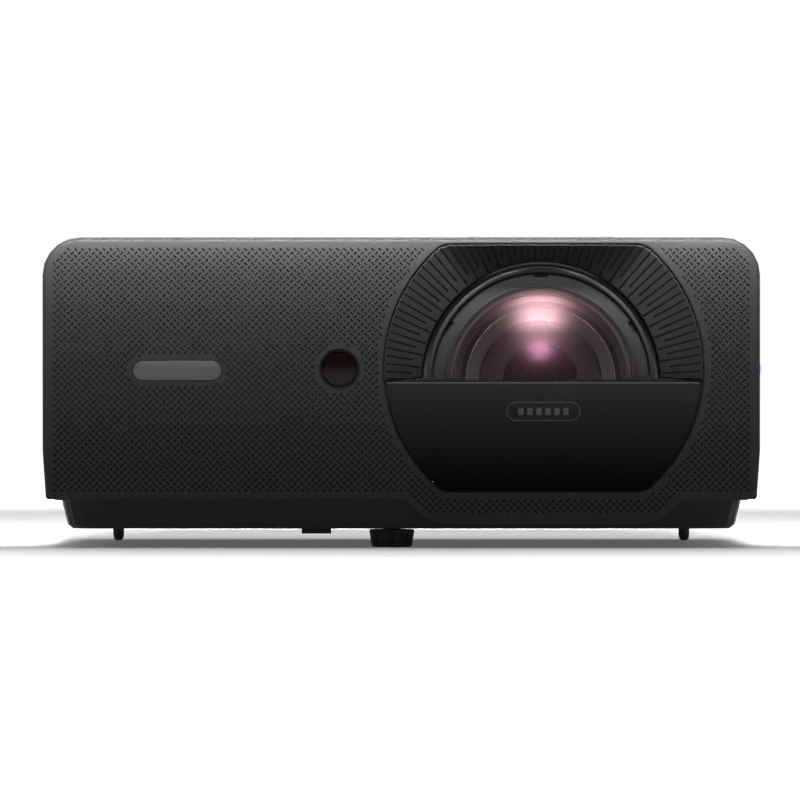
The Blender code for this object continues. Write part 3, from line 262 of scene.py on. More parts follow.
@dataclass(frozen=True)
class Floor(Finish):
    """A pale sweep that glows white away from the object.

    The glow grows from shade to full between the distances near and far from a point behind the object.
    """

    near: float = 0.62
    far: float = 1.1
    behind: float = 0.5
    shade: float = 0.1

    def extend(self, tree: bpy.types.NodeTree, place: bpy.types.NodeSocket, bump: bpy.types.Node) -> None:
        """Adds the glow.

        Args:
            tree: the material's nodes and links.
            place: the coordinate socket.
            bump: the node that holds the fine texture.
        """
        nodes, links = tree.nodes, tree.links
        length = nodes.new("ShaderNodeVectorMath")
        length.operation = "DISTANCE"
        length.inputs[1].default_value = (0.0, self.behind, 0.0)
        links.new(place, length.inputs[0])
        glow = nodes.new("ShaderNodeMapRange")
        glow.inputs["From Min"].default_value = self.near
        glow.inputs["From Max"].default_value = self.far
        glow.inputs["To Min"].default_value = self.shade
        links.new(length.outputs["Value"], glow.inputs["Value"])
        shader = nodes["Principled BSDF"]
        shader.inputs["Emission Color"].default_value = (1.0, 1.0, 1.0, 1.0)
        links.new(glow.outputs["Result"], shader.inputs["Emission Strength"])


LENS = Vector((65.3, 0.0, 77.8)) * MM
AXIS = tuple(LENS)

FLOOR_WHITE = Floor(
    "floor_white", "", (0.9, 0.9, 0.9), 0.7, grain=40, depth=0, mottle=0.01, drift=900, specular=0.2
)
CASE_BLACK = Finish(
    "case_black", "case_black", (0.016, 0.0163, 0.0168), 0.55, grain=0.28, depth=10, specular=0.25
)
BEZEL_BLACK = Finish(
    "bezel_black", "case_black", (0.0125, 0.0124, 0.0124), 0.5, grain=0.25, depth=6, specular=0.25
)
# Painted shade: a near-black colour for the floors of the deeper dimples, in place of the shade inside them.
PIT_PAINTED_SHADE = Finish(
    "pit_painted_shade", "case_black", (0.0035, 0.0035, 0.0035), 0.5, grain=0.25, depth=6, specular=0.1
)
TRAY_BLACK = Finish(
    "tray_black", "case_black", (0.0095, 0.0095, 0.0096), 0.5, grain=0.35, depth=14, specular=0.2
)
# The half cover's finish, with painted shade that makes it darker towards its bottom.
COVER_PAINTED_SHADE = PaintedShade(
    "cover_painted_shade", "satin_black", (0.019, 0.019, 0.0193), 0.5, grain=0.2, depth=3, specular=0.0
)
SATIN_BLACK = Finish(
    "satin_black", "satin_black", (0.016, 0.016, 0.0163), 0.5, grain=0.2, depth=3, specular=0.0
)
FUNNEL_BLACK = Finish(
    "funnel_black", "funnel_black", (0.012, 0.012, 0.0127), 0.48, grain=0.3, depth=8, specular=0.25
)
DEEP_BLACK = Finish("deep_black", "lens_black_plastic", (0.004, 0.004, 0.004), 0.6, grain=0.3, depth=6)
LIP_BLACK = Turned(
    "lip_black", "lens_black_plastic", (0.012, 0.012, 0.012), 0.4, specular=0.2, centre=AXIS
)
RING_DARK = Turned("ring_dark", "lens_black", (0.011, 0.0108, 0.0108), 0.5, specular=0.15, centre=AXIS)
RING_BLACK = Turned("ring_black", "lens_black", (0.012, 0.012, 0.012), 0.4, 0.2, centre=AXIS)
RING_GREY = Turned("ring_grey", "lens_metal", (0.15, 0.135, 0.135), 0.4, 0.9, centre=AXIS)
RING_SILVER = Turned("ring_silver", "lens_metal", (0.09, 0.085, 0.085), 0.3, 0.9, centre=AXIS)
FRONT_GLASS = Glass(
    "front_glass_coated",
    "coated_glass",
    (0.01, 0.006, 0.008),
    0.27,
    depth=0,
    specular=0.8,
    alpha=0.1,
    tint=(1.0, 0.62, 0.68),
)
INNER_GLASS = Glass(
    "inner_glass_coated",
    "coated_glass",
    (0.012, 0.004, 0.007),
    0.3,
    depth=0,
    specular=0.6,
    alpha=0.14,
    tint=(1.0, 0.45, 0.7),
)
PUPIL_GLASS = Glass(
    "pupil_glass_coated",
    "coated_glass",
    (0.01, 0.004, 0.007),
    0.24,
    depth=0,
    specular=0.4,
    alpha=0.14,
    tint=(1.0, 0.5, 0.7),
)
CENTRE_GLASS = Glass(
    "centre_glass_coated",
    "coated_glass",
    (0.07, 0.02, 0.04),
    0.3,
    depth=0,
    specular=0.6,
    alpha=0.9,
    tint=(1.0, 0.5, 0.7),
)
BADGE_GREY = Finish("badge_grey", "badge_grey", (0.045, 0.045, 0.046), 0.45, grain=0.15, depth=2)
# Painted highlight: a lighter grey for the strip along the cover's top edge, in place of the light it
# catches.
EDGE_HIGHLIGHT = Finish("edge_painted_highlight", "satin_black", (0.06, 0.06, 0.061), 0.3, grain=0.2, depth=2)
BADGE_LINE = Finish(
    "badge_line", "badge_grey", (0.04, 0.04, 0.041), 0.45, grain=0.2, depth=2, specular=0.3
)
INFRARED = Finish(
    "infrared_window", "infrared_window", (0.005, 0.0012, 0.0014), 0.15, grain=3, depth=0.5, specular=0.15
)
BLUE_LIGHT = Finish("blue_light", "blue_light", (0.30, 0.36, 0.85), 0.22, grain=0.6, depth=4, glow=0.35)
KEY_BLACK = Finish("key_black", "key_black", (0.035, 0.035, 0.037), 0.45, grain=0.22, depth=6)
PRINT_WHITE = Finish("print_white", "key_black", (0.5, 0.5, 0.5), 0.5, grain=0.2, depth=1)
RUBBER = Finish("rubber_black", "rubber", (0.014, 0.014, 0.014), 0.7, grain=0.4, depth=20)
STEEL = Finish("plated_steel", "steel", (0.42, 0.42, 0.43), 0.32, 1.0, grain=0.3, depth=4)
ALUMINIUM = Finish("extruded_aluminium", "aluminium", (0.55, 0.56, 0.58), 0.4, 1.0, grain=0.5, depth=6)
COPPER = Finish("bare_copper", "copper", (0.65, 0.3, 0.17), 0.3, 1.0, grain=0.4, depth=4)
BOARD = Finish("board_green", "board_green", (0.012, 0.09, 0.035), 0.4, grain=1.2, depth=5, coat=0.3)
SOCKET = Finish("socket_black", "socket_black", (0.015, 0.015, 0.016), 0.5, grain=0.3, depth=6)
GOLD = Finish("contact_gold", "copper", (0.8, 0.55, 0.2), 0.25, 1.0, grain=0.4, depth=1)
PHOSPHOR = Finish("phosphor_yellow", "phosphor", (0.7, 0.6, 0.1), 0.6, grain=0.3, depth=8)

NODE_FINISHES: dict[Finish, tuple[str, ...]] = {
    CASE_BLACK: ("top_cover", "rear_panel", "left_grille", "right_grille"),
    TRAY_BLACK: ("bottom_tray",),
    BEZEL_BLACK: ("front_bezel",),
    SATIN_BLACK: ("window_trim", "lens_cover"),
    FUNNEL_BLACK: ("lens_funnel",),
    DEEP_BLACK: ("lens_barrel", "zoom_cell"),
    RING_DARK: ("front_trim_ring",),
    RING_GREY: ("lens_baffle",),
    FRONT_GLASS: ("front_glass",),
    INNER_GLASS: ("second_glass",),
    BADGE_GREY: ("nameplate",),
    INFRARED: ("sensor_window",),
    BLUE_LIGHT: ("status_light",),
    KEY_BLACK: (
        *("ok_key", "power_key", "source_key", "back_key", "up_key", "down_key", "left_key", "right_key"),
        *("focus_ring", "zoom_ring"),
    ),
    RUBBER: ("front_foot", "rear_foot_left", "rear_foot_right"),
    STEEL: (
        *("case_screw_1", "case_screw_2", "case_screw_3", "case_screw_4", "wheel_motor"),
        *("front_foot_washer", "rear_foot_left_washer", "rear_foot_right_washer"),
        *("video_socket_1", "video_socket_2", "usb_socket", "serial_socket"),
    ),
    ALUMINIUM: ("optical_engine", "imager_heat_sink", "laser_module", "laser_heat_sink", "power_supply"),
    COPPER: ("heat_pipe",),
    BOARD: ("key_board", "input_board", "main_board"),
    SOCKET: (
        *("audio_socket", "power_inlet", "speaker"),
        *("front_fan_frame", "front_fan_rotor", "rear_fan_frame", "rear_fan_rotor"),
    ),
    PHOSPHOR: ("phosphor_wheel",),
}


def dress_nodes() -> None:
    """Gives every CAD node its finish."""
    for finish, names in NODE_FINISHES.items():
        for name in names:
            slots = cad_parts[name].data.materials
            slots.clear()
            slots.append(finish.build())


# ------------------------------------------------------------------ mesh helpers


def upright(outline: list[Vector], y: float) -> list[Vector]:
    """Places the points of a front outline at a depth."""
    return [Vector((point.x, y, point.y)) for point in outline]


def rounded_path(corners: list[tuple[float, float, float]], segments: int = 6) -> list[Vector]:
    """Rounds the corners of a closed outline.

    Args:
        corners: (u, v, radius) of each corner in order.
        segments: steps in each arc.

    Returns:
        The outline's points. A corner of no radius gives one point.
    """
    points = []
    for i, (u, v, radius) in enumerate(corners):
        here = Vector((u, v))
        if radius <= 0:
            points.append(here)
            continue
        to_before = (Vector(corners[i - 1][:2]) - here).normalized()
        to_after = (Vector(corners[(i + 1) % len(corners)][:2]) - here).normalized()
        half = to_before.angle(to_after) / 2
        centre = here + (to_before + to_after).normalized() * radius / math.sin(half)
        start = here + to_before * radius / math.tan(half) - centre
        sweep = start.angle_signed(here + to_after * radius / math.tan(half) - centre)
        points += [centre + Matrix.Rotation(-sweep * k / segments, 2) @ start for k in range(segments + 1)]
    return points


def rounded_rectangle(
    centre: tuple[float, float], size: tuple[float, float], radius: float, segments: int = 6
) -> list[Vector]:
    """Returns the outline of a rectangle with round corners.

    Args:
        centre: its middle.
        size: its width and height.
        radius: of its corners.
        segments: steps in each corner.

    Returns:
        Its points.
    """
    (u, v), (a, b) = centre, (size[0] / 2, size[1] / 2)
    signs = ((-1, -1), (1, -1), (1, 1), (-1, 1))
    return rounded_path([(u + a * i, v + b * j, radius) for i, j in signs], segments)


def circle(centre: tuple[float, float], radius: float, steps: int = 48) -> list[Vector]:
    """Returns the points of a circle, from its centre and radius."""
    turns = [2 * math.pi * k / steps for k in range(steps)]
    return [Vector((centre[0] + radius * math.cos(a), centre[1] + radius * math.sin(a))) for a in turns]


def add_loop(bm: bmesh.types.BMesh, points: list[Vector]) -> list[bmesh.types.BMEdge]:
    """Adds a closed loop of edges through the points and returns the edges."""
    verts = [bm.verts.new(p) for p in points]
    return [bm.edges.new((verts[i - 1], verts[i])) for i in range(len(verts))]


def loft(bm: bmesh.types.BMesh, rows: list[list[Vector]]) -> list[list[bmesh.types.BMEdge]]:
    """Extrudes a closed loop through the places of the others.

    Args:
        bm: the mesh to add to.
        rows: the points of each loop, the same number in each.

    Returns:
        The edges of each loop.
    """
    loops = [add_loop(bm, rows[0])]
    following = loops[0][1:] + loops[0][:1]
    verts = [next(iter(set(a.verts) & set(b.verts))) for a, b in zip(loops[0], following, strict=True)]
    for row in rows[1:]:
        made = bmesh.ops.extrude_edge_only(bm, edges=loops[-1])["geom"]
        new = {g for g in made if isinstance(g, bmesh.types.BMVert)}
        verts = [next(e.other_vert(v) for e in v.link_edges if e.other_vert(v) in new) for v in verts]
        for vert, place in zip(verts, row, strict=True):
            vert.co = place
        loops.append([bm.edges.get((a, b)) for a, b in zip(verts, verts[1:] + verts[:1], strict=True)])
    return loops


def cap(bm: bmesh.types.BMesh, edges: list[bmesh.types.BMEdge], normal: tuple[float, float, float]) -> None:
    """Fills the flat region between closed loops of edges."""
    bmesh.ops.triangle_fill(bm, use_beauty=True, use_dissolve=False, edges=edges, normal=normal)


def fill_front(bm: bmesh.types.BMesh, edges: list[bmesh.types.BMEdge]) -> None:
    """Fills the region between nested loops of edges that face the front, and leaves its islands open.

    A triangle of the whole region is kept if a line from its middle to the left crosses an odd number of
    edges. The edges are sorted into rows a millimetre high, so that each line meets few of them.

    Args:
        bm: the mesh that holds the loops.
        edges: the edges of all the loops.
    """
    verts = list(dict.fromkeys(v for edge in edges for v in edge.verts))
    order = {v: i for i, v in enumerate(verts)}
    places = [Vector((v.co.x, v.co.z)) for v in verts]
    pairs = [(order[edge.verts[0]], order[edge.verts[1]]) for edge in edges]
    found, _, faces, origins, _, _ = delaunay_2d_cdt(places, pairs, [], 0, 1e-7)
    rows: dict[int, list[tuple[Vector, Vector]]] = {}
    for a, b in ((places[i], places[j]) for i, j in pairs):
        low, high = sorted((a.y, b.y))
        for row in range(math.floor(low / MM), math.floor(high / MM) + 1):
            rows.setdefault(row, []).append((a, b))
    for face in faces:
        middle = sum((found[i] for i in face), Vector((0, 0))) / 3
        crossed = 0
        for a, b in rows.get(math.floor(middle.y / MM), ()):
            if (a.y > middle.y) != (b.y > middle.y):
                crossed += middle.x < a.x + (b.x - a.x) * (middle.y - a.y) / (b.y - a.y)
        corners = [verts[origins[i][0]] for i in face if origins[i]]
        if crossed % 2 and len(set(corners)) == 3 and not bm.faces.get(corners):
            bm.faces.new(corners)


def lathe(
    bm: bmesh.types.BMesh,
    profile: list[tuple[float, float]],
    place: Vector,
    axis: str = "Z",
    steps: int = 96,
) -> None:
    """Adds a turned shape.

    Args:
        bm: the mesh to add to.
        profile: (radius, height) along the outline, from end to end; a radius of 0 is a pole.
        place: a point on the axis, from where heights are counted.
        axis: Z is up, Y towards the front and X to the right.
        steps: sides of the full turn.
    """
    verts = [bm.verts.new((radius, 0, height)) for radius, height in profile]
    edges = [bm.edges.new(pair) for pair in zip(verts, verts[1:], strict=False)]
    bmesh.ops.spin(
        bm, geom=verts + edges, cent=(0, 0, 0), axis=(0, 0, 1), steps=steps, angle=math.tau, use_merge=True
    )
    new = [v for v in bm.verts if v.tag is False]
    turns = {"X": Matrix.Rotation(math.pi / 2, 3, "Y"), "Y": Matrix.Rotation(math.pi / 2, 3, "X")}
    if axis in turns:
        bmesh.ops.rotate(bm, verts=new, matrix=turns[axis])
    bmesh.ops.translate(bm, vec=place, verts=new)
    for v in new:
        v.tag = True
    bmesh.ops.remove_doubles(bm, verts=new, dist=0.002 * MM)


def prism(bm: bmesh.types.BMesh, points: list[Vector], shift: Vector) -> list[bmesh.types.BMVert]:
    """Adds the solid that a flat outline sweeps when it moves.

    Args:
        bm: the mesh to add to.
        points: the outline.
        shift: how far it moves.

    Returns:
        The moved outline's vertices.
    """
    face = bm.faces.new([bm.verts.new(p) for p in points])
    moved = bmesh.ops.extrude_face_region(bm, geom=[face], use_keep_orig=True)["geom"]
    verts = [g for g in moved if isinstance(g, bmesh.types.BMVert)]
    bmesh.ops.translate(bm, vec=shift, verts=verts)
    return verts


def slab(
    bm: bmesh.types.BMesh,
    outline: list[Vector],
    start: float,
    end: float,
    round_off: float = 0.0,
    segments: int = 2,
) -> None:
    """Adds a slab standing in the front plane, with its front edge rounded off.

    Args:
        bm: the mesh to add to.
        outline: the slab's outline in X and Z.
        start: the front face's Y.
        end: the back face's Y.
        round_off: the radius of the front edge.
        segments: steps of that radius.
    """
    verts = prism(bm, upright(outline, end), Vector((0, start - end, 0)))
    if round_off:
        rim = [e for e in bm.edges if e.verts[0] in verts and e.verts[1] in verts]
        bevel(bm, rim, round_off, segments)


def bevel(bm: bmesh.types.BMesh, edges: list[bmesh.types.BMEdge], width: float, segments: int = 2) -> None:
    """Rounds off edges."""
    bmesh.ops.bevel(
        bm, geom=edges, offset=width, segments=segments, profile=0.5, affect="EDGES", material=-1
    )


def lying_slab(
    bm: bmesh.types.BMesh, outline: list[Vector], low: float, high: float, round_off: float = 0.0
) -> None:
    """Adds a slab lying flat, with its top edge rounded off.

    Args:
        bm: the mesh to add to.
        outline: its outline in X and Y.
        low: its underside's Z.
        high: its top's Z.
        round_off: the radius of its top edge.
    """
    verts = prism(bm, [Vector((p.x, p.y, low)) for p in outline], Vector((0, 0, high - low)))
    if round_off:
        bevel(bm, [e for e in bm.edges if e.verts[0] in verts and e.verts[1] in verts], round_off, 3)


def arc_band(
    centre: tuple[float, float], radius: float, width: float, start: float, end: float, steps: int = 20
) -> list[Vector]:
    """Returns the outline of a band that follows an arc.

    Args:
        centre: the arc's centre.
        radius: the band's outer radius.
        width: the band's width.
        start: the angle in degrees where it starts.
        end: the angle in degrees where it ends.
        steps: steps along it.

    Returns:
        Its points.
    """
    points = []
    for edge in (radius, radius - width):
        turn = [math.radians(start + (end - start) * k / steps) for k in range(steps + 1)]
        row = [Vector((centre[0] + edge * math.cos(a), centre[1] + edge * math.sin(a))) for a in turn]
        points += row if edge == radius else row[::-1]
    return points


def publish(
    bm: bmesh.types.BMesh,
    name: str,
    finish: Finish,
    body: str = CASE,
    nodes: tuple[str, ...] = (),
    smooth: float = 35.0,
    recalculate: bool = True,
) -> bpy.types.Object:
    """Makes the bmesh an object that rides on a body.

    Args:
        bm: the finished mesh, which is freed.
        name: the object's name.
        finish: its finish.
        body: the body that it moves with.
        nodes: the CAD nodes that it stands for.
        smooth: the angle in degrees past which an edge stays sharp.
        recalculate: whether to turn its faces outwards.

    Returns:
        The object.
    """
    if recalculate:
        bmesh.ops.recalc_face_normals(bm, faces=bm.faces)
    mesh = bpy.data.meshes.new(name)
    bm.to_mesh(mesh)
    bm.free()
    mesh.shade_smooth()
    mesh.set_sharp_from_angle(angle=math.radians(smooth))
    mesh.materials.append(finish.build())
    made = bpy.data.objects.new(name, mesh)
    bpy.context.scene.collection.objects.link(made)
    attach(made, body)
    if nodes:
        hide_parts(*nodes)
    LOG.info("%s: %d faces, on %s", name, len(mesh.polygons), body)
    return made


# ------------------------------------------------------------------ the lens mouth's outline


@dataclass(frozen=True)
class Mouth:
    """The opening round the lens: a circle cut flat above and below, with filleted corners."""

    x: float = 66.3 * MM
    z: float = 83.8 * MM
    radius: float = 74.6 * MM
    half_height: float = 57.8 * MM
    fillet: float = 11 * MM

    def reach(self, grow: float) -> float:
        """Returns half the length of the flat above or below, of the outline grown by a distance."""
        radius, height, fillet = self.radius + grow, self.half_height + grow, self.fillet + grow
        return math.sqrt(radius**2 - height**2 - 2 * fillet * (radius - height))

    def outline(self, grow: float, side: int = 40, corner: int = 10, flat: int = 24) -> list[Vector]:
        """Returns the outline, grown by a distance.

        Args:
            grow: how far outside the opening the outline runs.
            side: steps of each side's arc.
            corner: steps of each fillet.
            flat: steps of each flat.

        Returns:
            Its points.
        """
        radius, height, fillet = self.radius + grow, self.half_height + grow, self.fillet + grow
        reach = self.reach(grow)
        limit = math.atan2(height - fillet, reach)
        points = []
        for turn in (Matrix.Rotation(0, 2), Matrix.Rotation(math.pi, 2)):
            arc = [limit * (2 * k / side - 1) for k in range(side + 1)]
            half = [Vector((radius * math.cos(a), radius * math.sin(a))) for a in arc]
            bend = []
            for k in range(1, corner + 1):
                a = limit + (math.pi / 2 - limit) * k / corner
                bend.append(Vector((reach + fillet * math.cos(a), height - fillet + fillet * math.sin(a))))
            half += bend + [Vector((reach * (1 - 2 * k / flat), height)) for k in range(1, flat)]
            half += [Vector((-p.x, p.y)) for p in reversed(bend)]
            points += [turn @ p for p in half]
        return [p + Vector((self.x, self.z)) for p in points]

    def distance(self, p: Vector) -> float:
        """Returns how far a point is outside the opening; it is negative inside."""
        away = p - Vector((self.x, self.z))
        return max(away.length - self.radius, abs(away.y) - self.half_height)


MOUTH = Mouth()


# ------------------------------------------------------------------ case front


@dataclass
class FrontBezel:
    """The moulded front with its field of crossed dimples, rolled edge, chin and openings.

    The outline narrows by taper below taper_z, and chin is how far its round chin stands out round the
    mouth. The face falls back by crown over crown_width towards its edge. A dimple is a dash in a square
    cell, and a dash of full size or nearly, past shade_past, has a floor painted near black as shade.
    """

    half_width: float = 166.9 * MM
    top: float = 144.3 * MM
    low: float = 22.3 * MM
    corner: float = 16.9 * MM
    low_corner: float = 6 * MM
    taper: float = 1.5 * MM
    taper_z: float = 45.7 * MM
    chin: float = 14.8 * MM
    front: float = -135.5 * MM
    back: float = -122.5 * MM
    roll: float = 1.7 * MM
    margin: float = 2.2 * MM
    crown: float = 1.0 * MM
    crown_width: float = 14.0 * MM
    wall: float = 2.5 * MM
    cell: float = 2.33 * MM
    dash_long: float = 1.75 * MM
    dash_wide: float = 0.78 * MM
    dash_depth: float = 0.65 * MM
    shade_past: float = 0.6
    field_reach: float = 250 * MM
    middle_z: float = 78 * MM
    lip: float = 0.9 * MM
    sensor: tuple[float, float] = (-28.8 * MM, 83.3 * MM)
    sensor_radius: float = 9.65 * MM
    plate: tuple[float, float] = (-104.4 * MM, 82.7 * MM)
    plate_size: tuple[float, float] = (42 * MM, 10 * MM)

    def chin_side(self, inset: float) -> list[tuple[float, float, float]]:
        """Returns the left half of the chin, down to its lowest flat.

        Args:
            inset: how far inside the bezel's outer edge it runs.

        Returns:
            Each corner's place from the mouth's middle, and its radius.
        """
        grow = self.chin - inset
        radius, height, fillet = MOUTH.radius + grow, MOUTH.half_height + grow, MOUTH.fillet + grow
        reach = MOUTH.reach(grow)
        start = math.asin((MOUTH.z - self.low - inset) / radius)
        stop = math.atan2(height - fillet, reach)
        side = []
        for k in range(4):
            a = start + (stop - start) * k / 3
            side.append((-radius * math.cos(a), -radius * math.sin(a), 0))
        for k in range(1, 9):
            a = stop + (math.pi / 2 - stop) * k / 8
            side.append((-reach - fillet * math.cos(a), fillet - height - fillet * math.sin(a), 0))
        side += [(-reach + reach * k / 8, -height, 0) for k in range(1, 8)]
        side[0] = (*side[0][:2], 2.2 * MM + inset * 0.3)
        return side

    def outline(self, inset: float) -> list[Vector]:
        """Returns the bezel's outline with its chin.

        Args:
            inset: how far inside the bezel's outer edge it runs.

        Returns:
            Its points.
        """
        low, half, top = self.low + inset, self.half_width - inset, self.top - inset
        radius = max(1 * MM, self.corner - inset)
        low_radius = max(1.2 * MM, self.low_corner - inset)
        chin = [(MOUTH.x + u, MOUTH.z + v, r) for u, v, r in self.chin_side(inset)]
        chin.append((MOUTH.x, MOUTH.z - MOUTH.half_height - self.chin + inset, 0))
        chin += [(2 * MOUTH.x - u, v, r) for u, v, r in reversed(chin[:-1])]
        corners = [(-half + self.taper, low, low_radius), *chin, (half - self.taper, low, low_radius)]
        corners += [(half, self.taper_z, 0), (half, top, radius)]
        corners += [(-half, top, radius), (-half, self.taper_z, 0)]
        return rounded_path(corners, 8)

    def depth_inside(self, p: Vector) -> float:
        """Returns how far a point is inside the bezel's outer edge.

        Args:
            p: the point, as X and Z.

        Returns:
            The distance.
        """
        away = Vector((abs(p.x), abs(p.y - (self.top + self.low) / 2)))
        half = Vector((self.half_width, (self.top - self.low) / 2))
        radius = self.corner if p.y > self.low + (self.top - self.low) / 2 else self.low_corner
        beyond = away - half + Vector((radius, radius))
        outside = Vector((max(beyond.x, 0), max(beyond.y, 0))).length
        outside += min(max(beyond.x, beyond.y), 0) - radius
        in_chin = self.chin - MOUTH.distance(p) if p.y < MOUTH.z / 2 else -outside
        return max(-outside, in_chin)

    def room(self, p: Vector) -> float:
        """Returns how far a point is from the nearest edge or opening of the dimpled field.

        Args:
            p: the point, as X and Z.

        Returns:
            The distance.
        """
        stadium = self.plate_size[0] / 2 - self.plate_size[1] / 2
        along = max(abs(p.x - self.plate[0]) - stadium, 0)
        to_plate = math.hypot(along, p.y - self.plate[1]) - self.plate_size[1] / 2
        to_sensor = (p - Vector(self.sensor)).length - self.sensor_radius
        return min(self.depth_inside(p) - self.margin, MOUTH.distance(p) - 1.2 * MM, to_plate, to_sensor)

    @property
    def inner_y(self) -> float:
        """The Y of the wall's inner face."""
        return self.front + self.wall + 0.5 * MM

    def cell_of(self, place: Vector) -> tuple[int, int]:
        """Returns the column and row of the dimple cell that a point is in.

        Args:
            place: the point.

        Returns:
            The column and the row.
        """
        side = self.cell * math.sqrt(2)
        rise = place.z - self.middle_z
        return math.floor((place.x + rise) / side), math.floor((rise - place.x) / side)

    def dimples(self, bm: bmesh.types.BMesh) -> list[bmesh.types.BMEdge]:
        """Adds the field of dimples.

        Args:
            bm: the bezel's mesh.

        Returns:
            The edges round the field.
        """
        count = 2 * math.ceil(self.field_reach / self.cell)
        side = count * self.cell / 2
        bmesh.ops.create_grid(bm, x_segments=count, y_segments=count, size=side)
        to_front = Matrix.Rotation(math.pi / 2, 3, "X") @ Matrix.Rotation(math.pi / 4, 3, "Z")
        bmesh.ops.rotate(bm, verts=bm.verts, matrix=to_front)
        bmesh.ops.translate(bm, vec=(0, self.front, self.middle_z), verts=bm.verts)
        outside = []
        for face in bm.faces:
            corners = [Vector((v.co.x, v.co.z)) for v in face.verts]
            if min(self.room(p) for p in corners) < 0.35 * MM:
                outside.append(face)
        bmesh.ops.delete(bm, geom=outside, context="FACES")
        pits = list(bm.faces)
        bmesh.ops.inset_individual(bm, faces=pits, thickness=self.cell * 0.12, use_even_offset=True)
        shapes = self.shape_pits(pits, 1.0, 0.0)
        bmesh.ops.inset_individual(bm, faces=pits, thickness=0.1 * MM, use_even_offset=True)
        self.shape_pits(pits, 0.55, self.dash_depth, shapes)
        for face, (_, _, strength) in zip(pits, shapes, strict=True):
            # Painted shade: the floors of the deeper dimples take the second, near-black material.
            face.material_index = int(strength > self.shade_past)
        return [e for e in bm.edges if e.is_boundary]

    def shape_pits(
        self,
        pits: list[bmesh.types.BMFace],
        share: float,
        depth: float,
        places: list[tuple[Vector, Vector, float]] | None = None,
    ) -> list[tuple[Vector, Vector, float]]:
        """Makes each face a dash, and sinks it.

        Args:
            pits: the faces.
            share: the dash's size, as a share of its size at the surface.
            depth: how deep the face goes.
            places: where each dash is, its direction and its strength, from an earlier call.

        Returns:
            The same places.
        """
        if places is None:
            places = []
            for face in pits:
                middle = face.calc_center_median()
                lean = 1 if sum(self.cell_of(middle)) % 2 else -1
                along = Vector((lean, 0, 1)).normalized()
                strength = min(1.0, 0.3 + self.room(Vector((middle.x, middle.z))) / (4.0 * MM))
                places.append((middle, along, strength))
        for face, (middle, along, strength) in zip(pits, places, strict=True):
            across = Vector((along.z, 0, -along.x))
            for v in face.verts:
                away = v.co - middle
                u = math.copysign(self.dash_long / 2, away.dot(along))
                w = math.copysign(self.dash_wide / 2, away.dot(across))
                v.co = middle + (along * u * (1 - (1 - share) * 0.45) + across * w * share)
                v.co.y = self.front + depth * strength
        return places

    def shell(self, bm: bmesh.types.BMesh) -> list[list[bmesh.types.BMEdge]]:
        """Adds the rolled edge, the side and the wall's inner face.

        Args:
            bm: the bezel's mesh.

        Returns:
            Their loops of edges.
        """
        rows = []
        for a in (math.pi / 2 * k / 6 for k in range(7)):
            inset, sink = self.roll * (1 - math.sin(a)), self.roll * (1 - math.cos(a))
            rows.append(upright(self.outline(inset), self.front + sink * 0.8))
        rows.append(upright(self.outline(0), self.back))
        rows.append(upright(self.outline(self.wall), self.back))
        rows.append(upright(self.outline(self.wall), self.inner_y))
        return loft(bm, rows)

    def mouth(self, bm: bmesh.types.BMesh) -> list[list[bmesh.types.BMEdge]]:
        """Adds the rounded lip of the opening round the lens.

        Args:
            bm: the bezel's mesh.

        Returns:
            Its loops of edges.
        """
        rows = []
        for a in (math.pi / 2 * k / 3 for k in range(4)):
            grow, sink = self.lip * (1 - math.sin(a)), self.lip * (1 - math.cos(a))
            rows.append(upright(MOUTH.outline(grow), self.front + sink))
        rows.append(upright(MOUTH.outline(0), self.inner_y))
        return loft(bm, rows)

    def plate_seat(self, bm: bmesh.types.BMesh) -> list[list[bmesh.types.BMEdge]]:
        """Adds the shallow seat of the nameplate, closed at its back.

        Args:
            bm: the bezel's mesh.

        Returns:
            Its loops of edges.
        """
        width, height = self.plate_size
        outer = rounded_rectangle(self.plate, self.plate_size, height / 2 - 0.01 * MM, 8)
        small = (width - 0.3 * MM, height - 0.3 * MM)
        inner = rounded_rectangle(self.plate, small, height / 2 - 0.16 * MM, 8)
        rows = [upright(outer, self.front)]
        rows += [upright(inner, self.front + 0.15 * MM), upright(inner, self.front + 0.9 * MM)]
        seat = loft(bm, rows)
        cap(bm, seat[-1], (0, -1, 0))
        return seat

    def sensor_hole(self, bm: bmesh.types.BMesh) -> list[list[bmesh.types.BMEdge]]:
        """Adds the flared hole of the infrared window.

        Args:
            bm: the bezel's mesh.

        Returns:
            Its loops of edges.
        """
        flare = [(self.sensor_radius, 0.0), (self.sensor_radius - 0.3 * MM, 0.2 * MM)]
        flare += [(8.35 * MM, 2.2 * MM), (8.2 * MM, 3 * MM)]
        return loft(bm, [upright(circle(self.sensor, r), self.front + y) for r, y in flare])

    def build(self) -> None:
        """Builds the bezel, its nameplate and its infrared window."""
        bm = bmesh.new()
        rim = self.dimples(bm)
        shell, mouth, seat, hole = self.shell(bm), self.mouth(bm), self.plate_seat(bm), self.sensor_hole(bm)
        fill_front(bm, rim + shell[0] + mouth[0] + seat[0] + hole[0])
        cap(bm, shell[-1] + mouth[-1] + hole[-1], (0, 1, 0))
        for v in bm.verts:
            near = 1 - max(0.0, self.depth_inside(Vector((v.co.x, v.co.z)))) / self.crown_width
            if near > 0 and v.co.y < self.front + self.roll + 0.5 * MM:
                v.co.y += self.crown * near**2
        made = publish(bm, "bezel", BEZEL_BLACK, nodes=("front_bezel",), smooth=32)
        # The second material: the near-black painted shade of the dimple floors.
        made.data.materials.append(PIT_PAINTED_SHADE.build())
        made.modifiers.new("weighted", "WEIGHTED_NORMAL").keep_sharp = True
        self.nameplate()
        self.infrared_window()

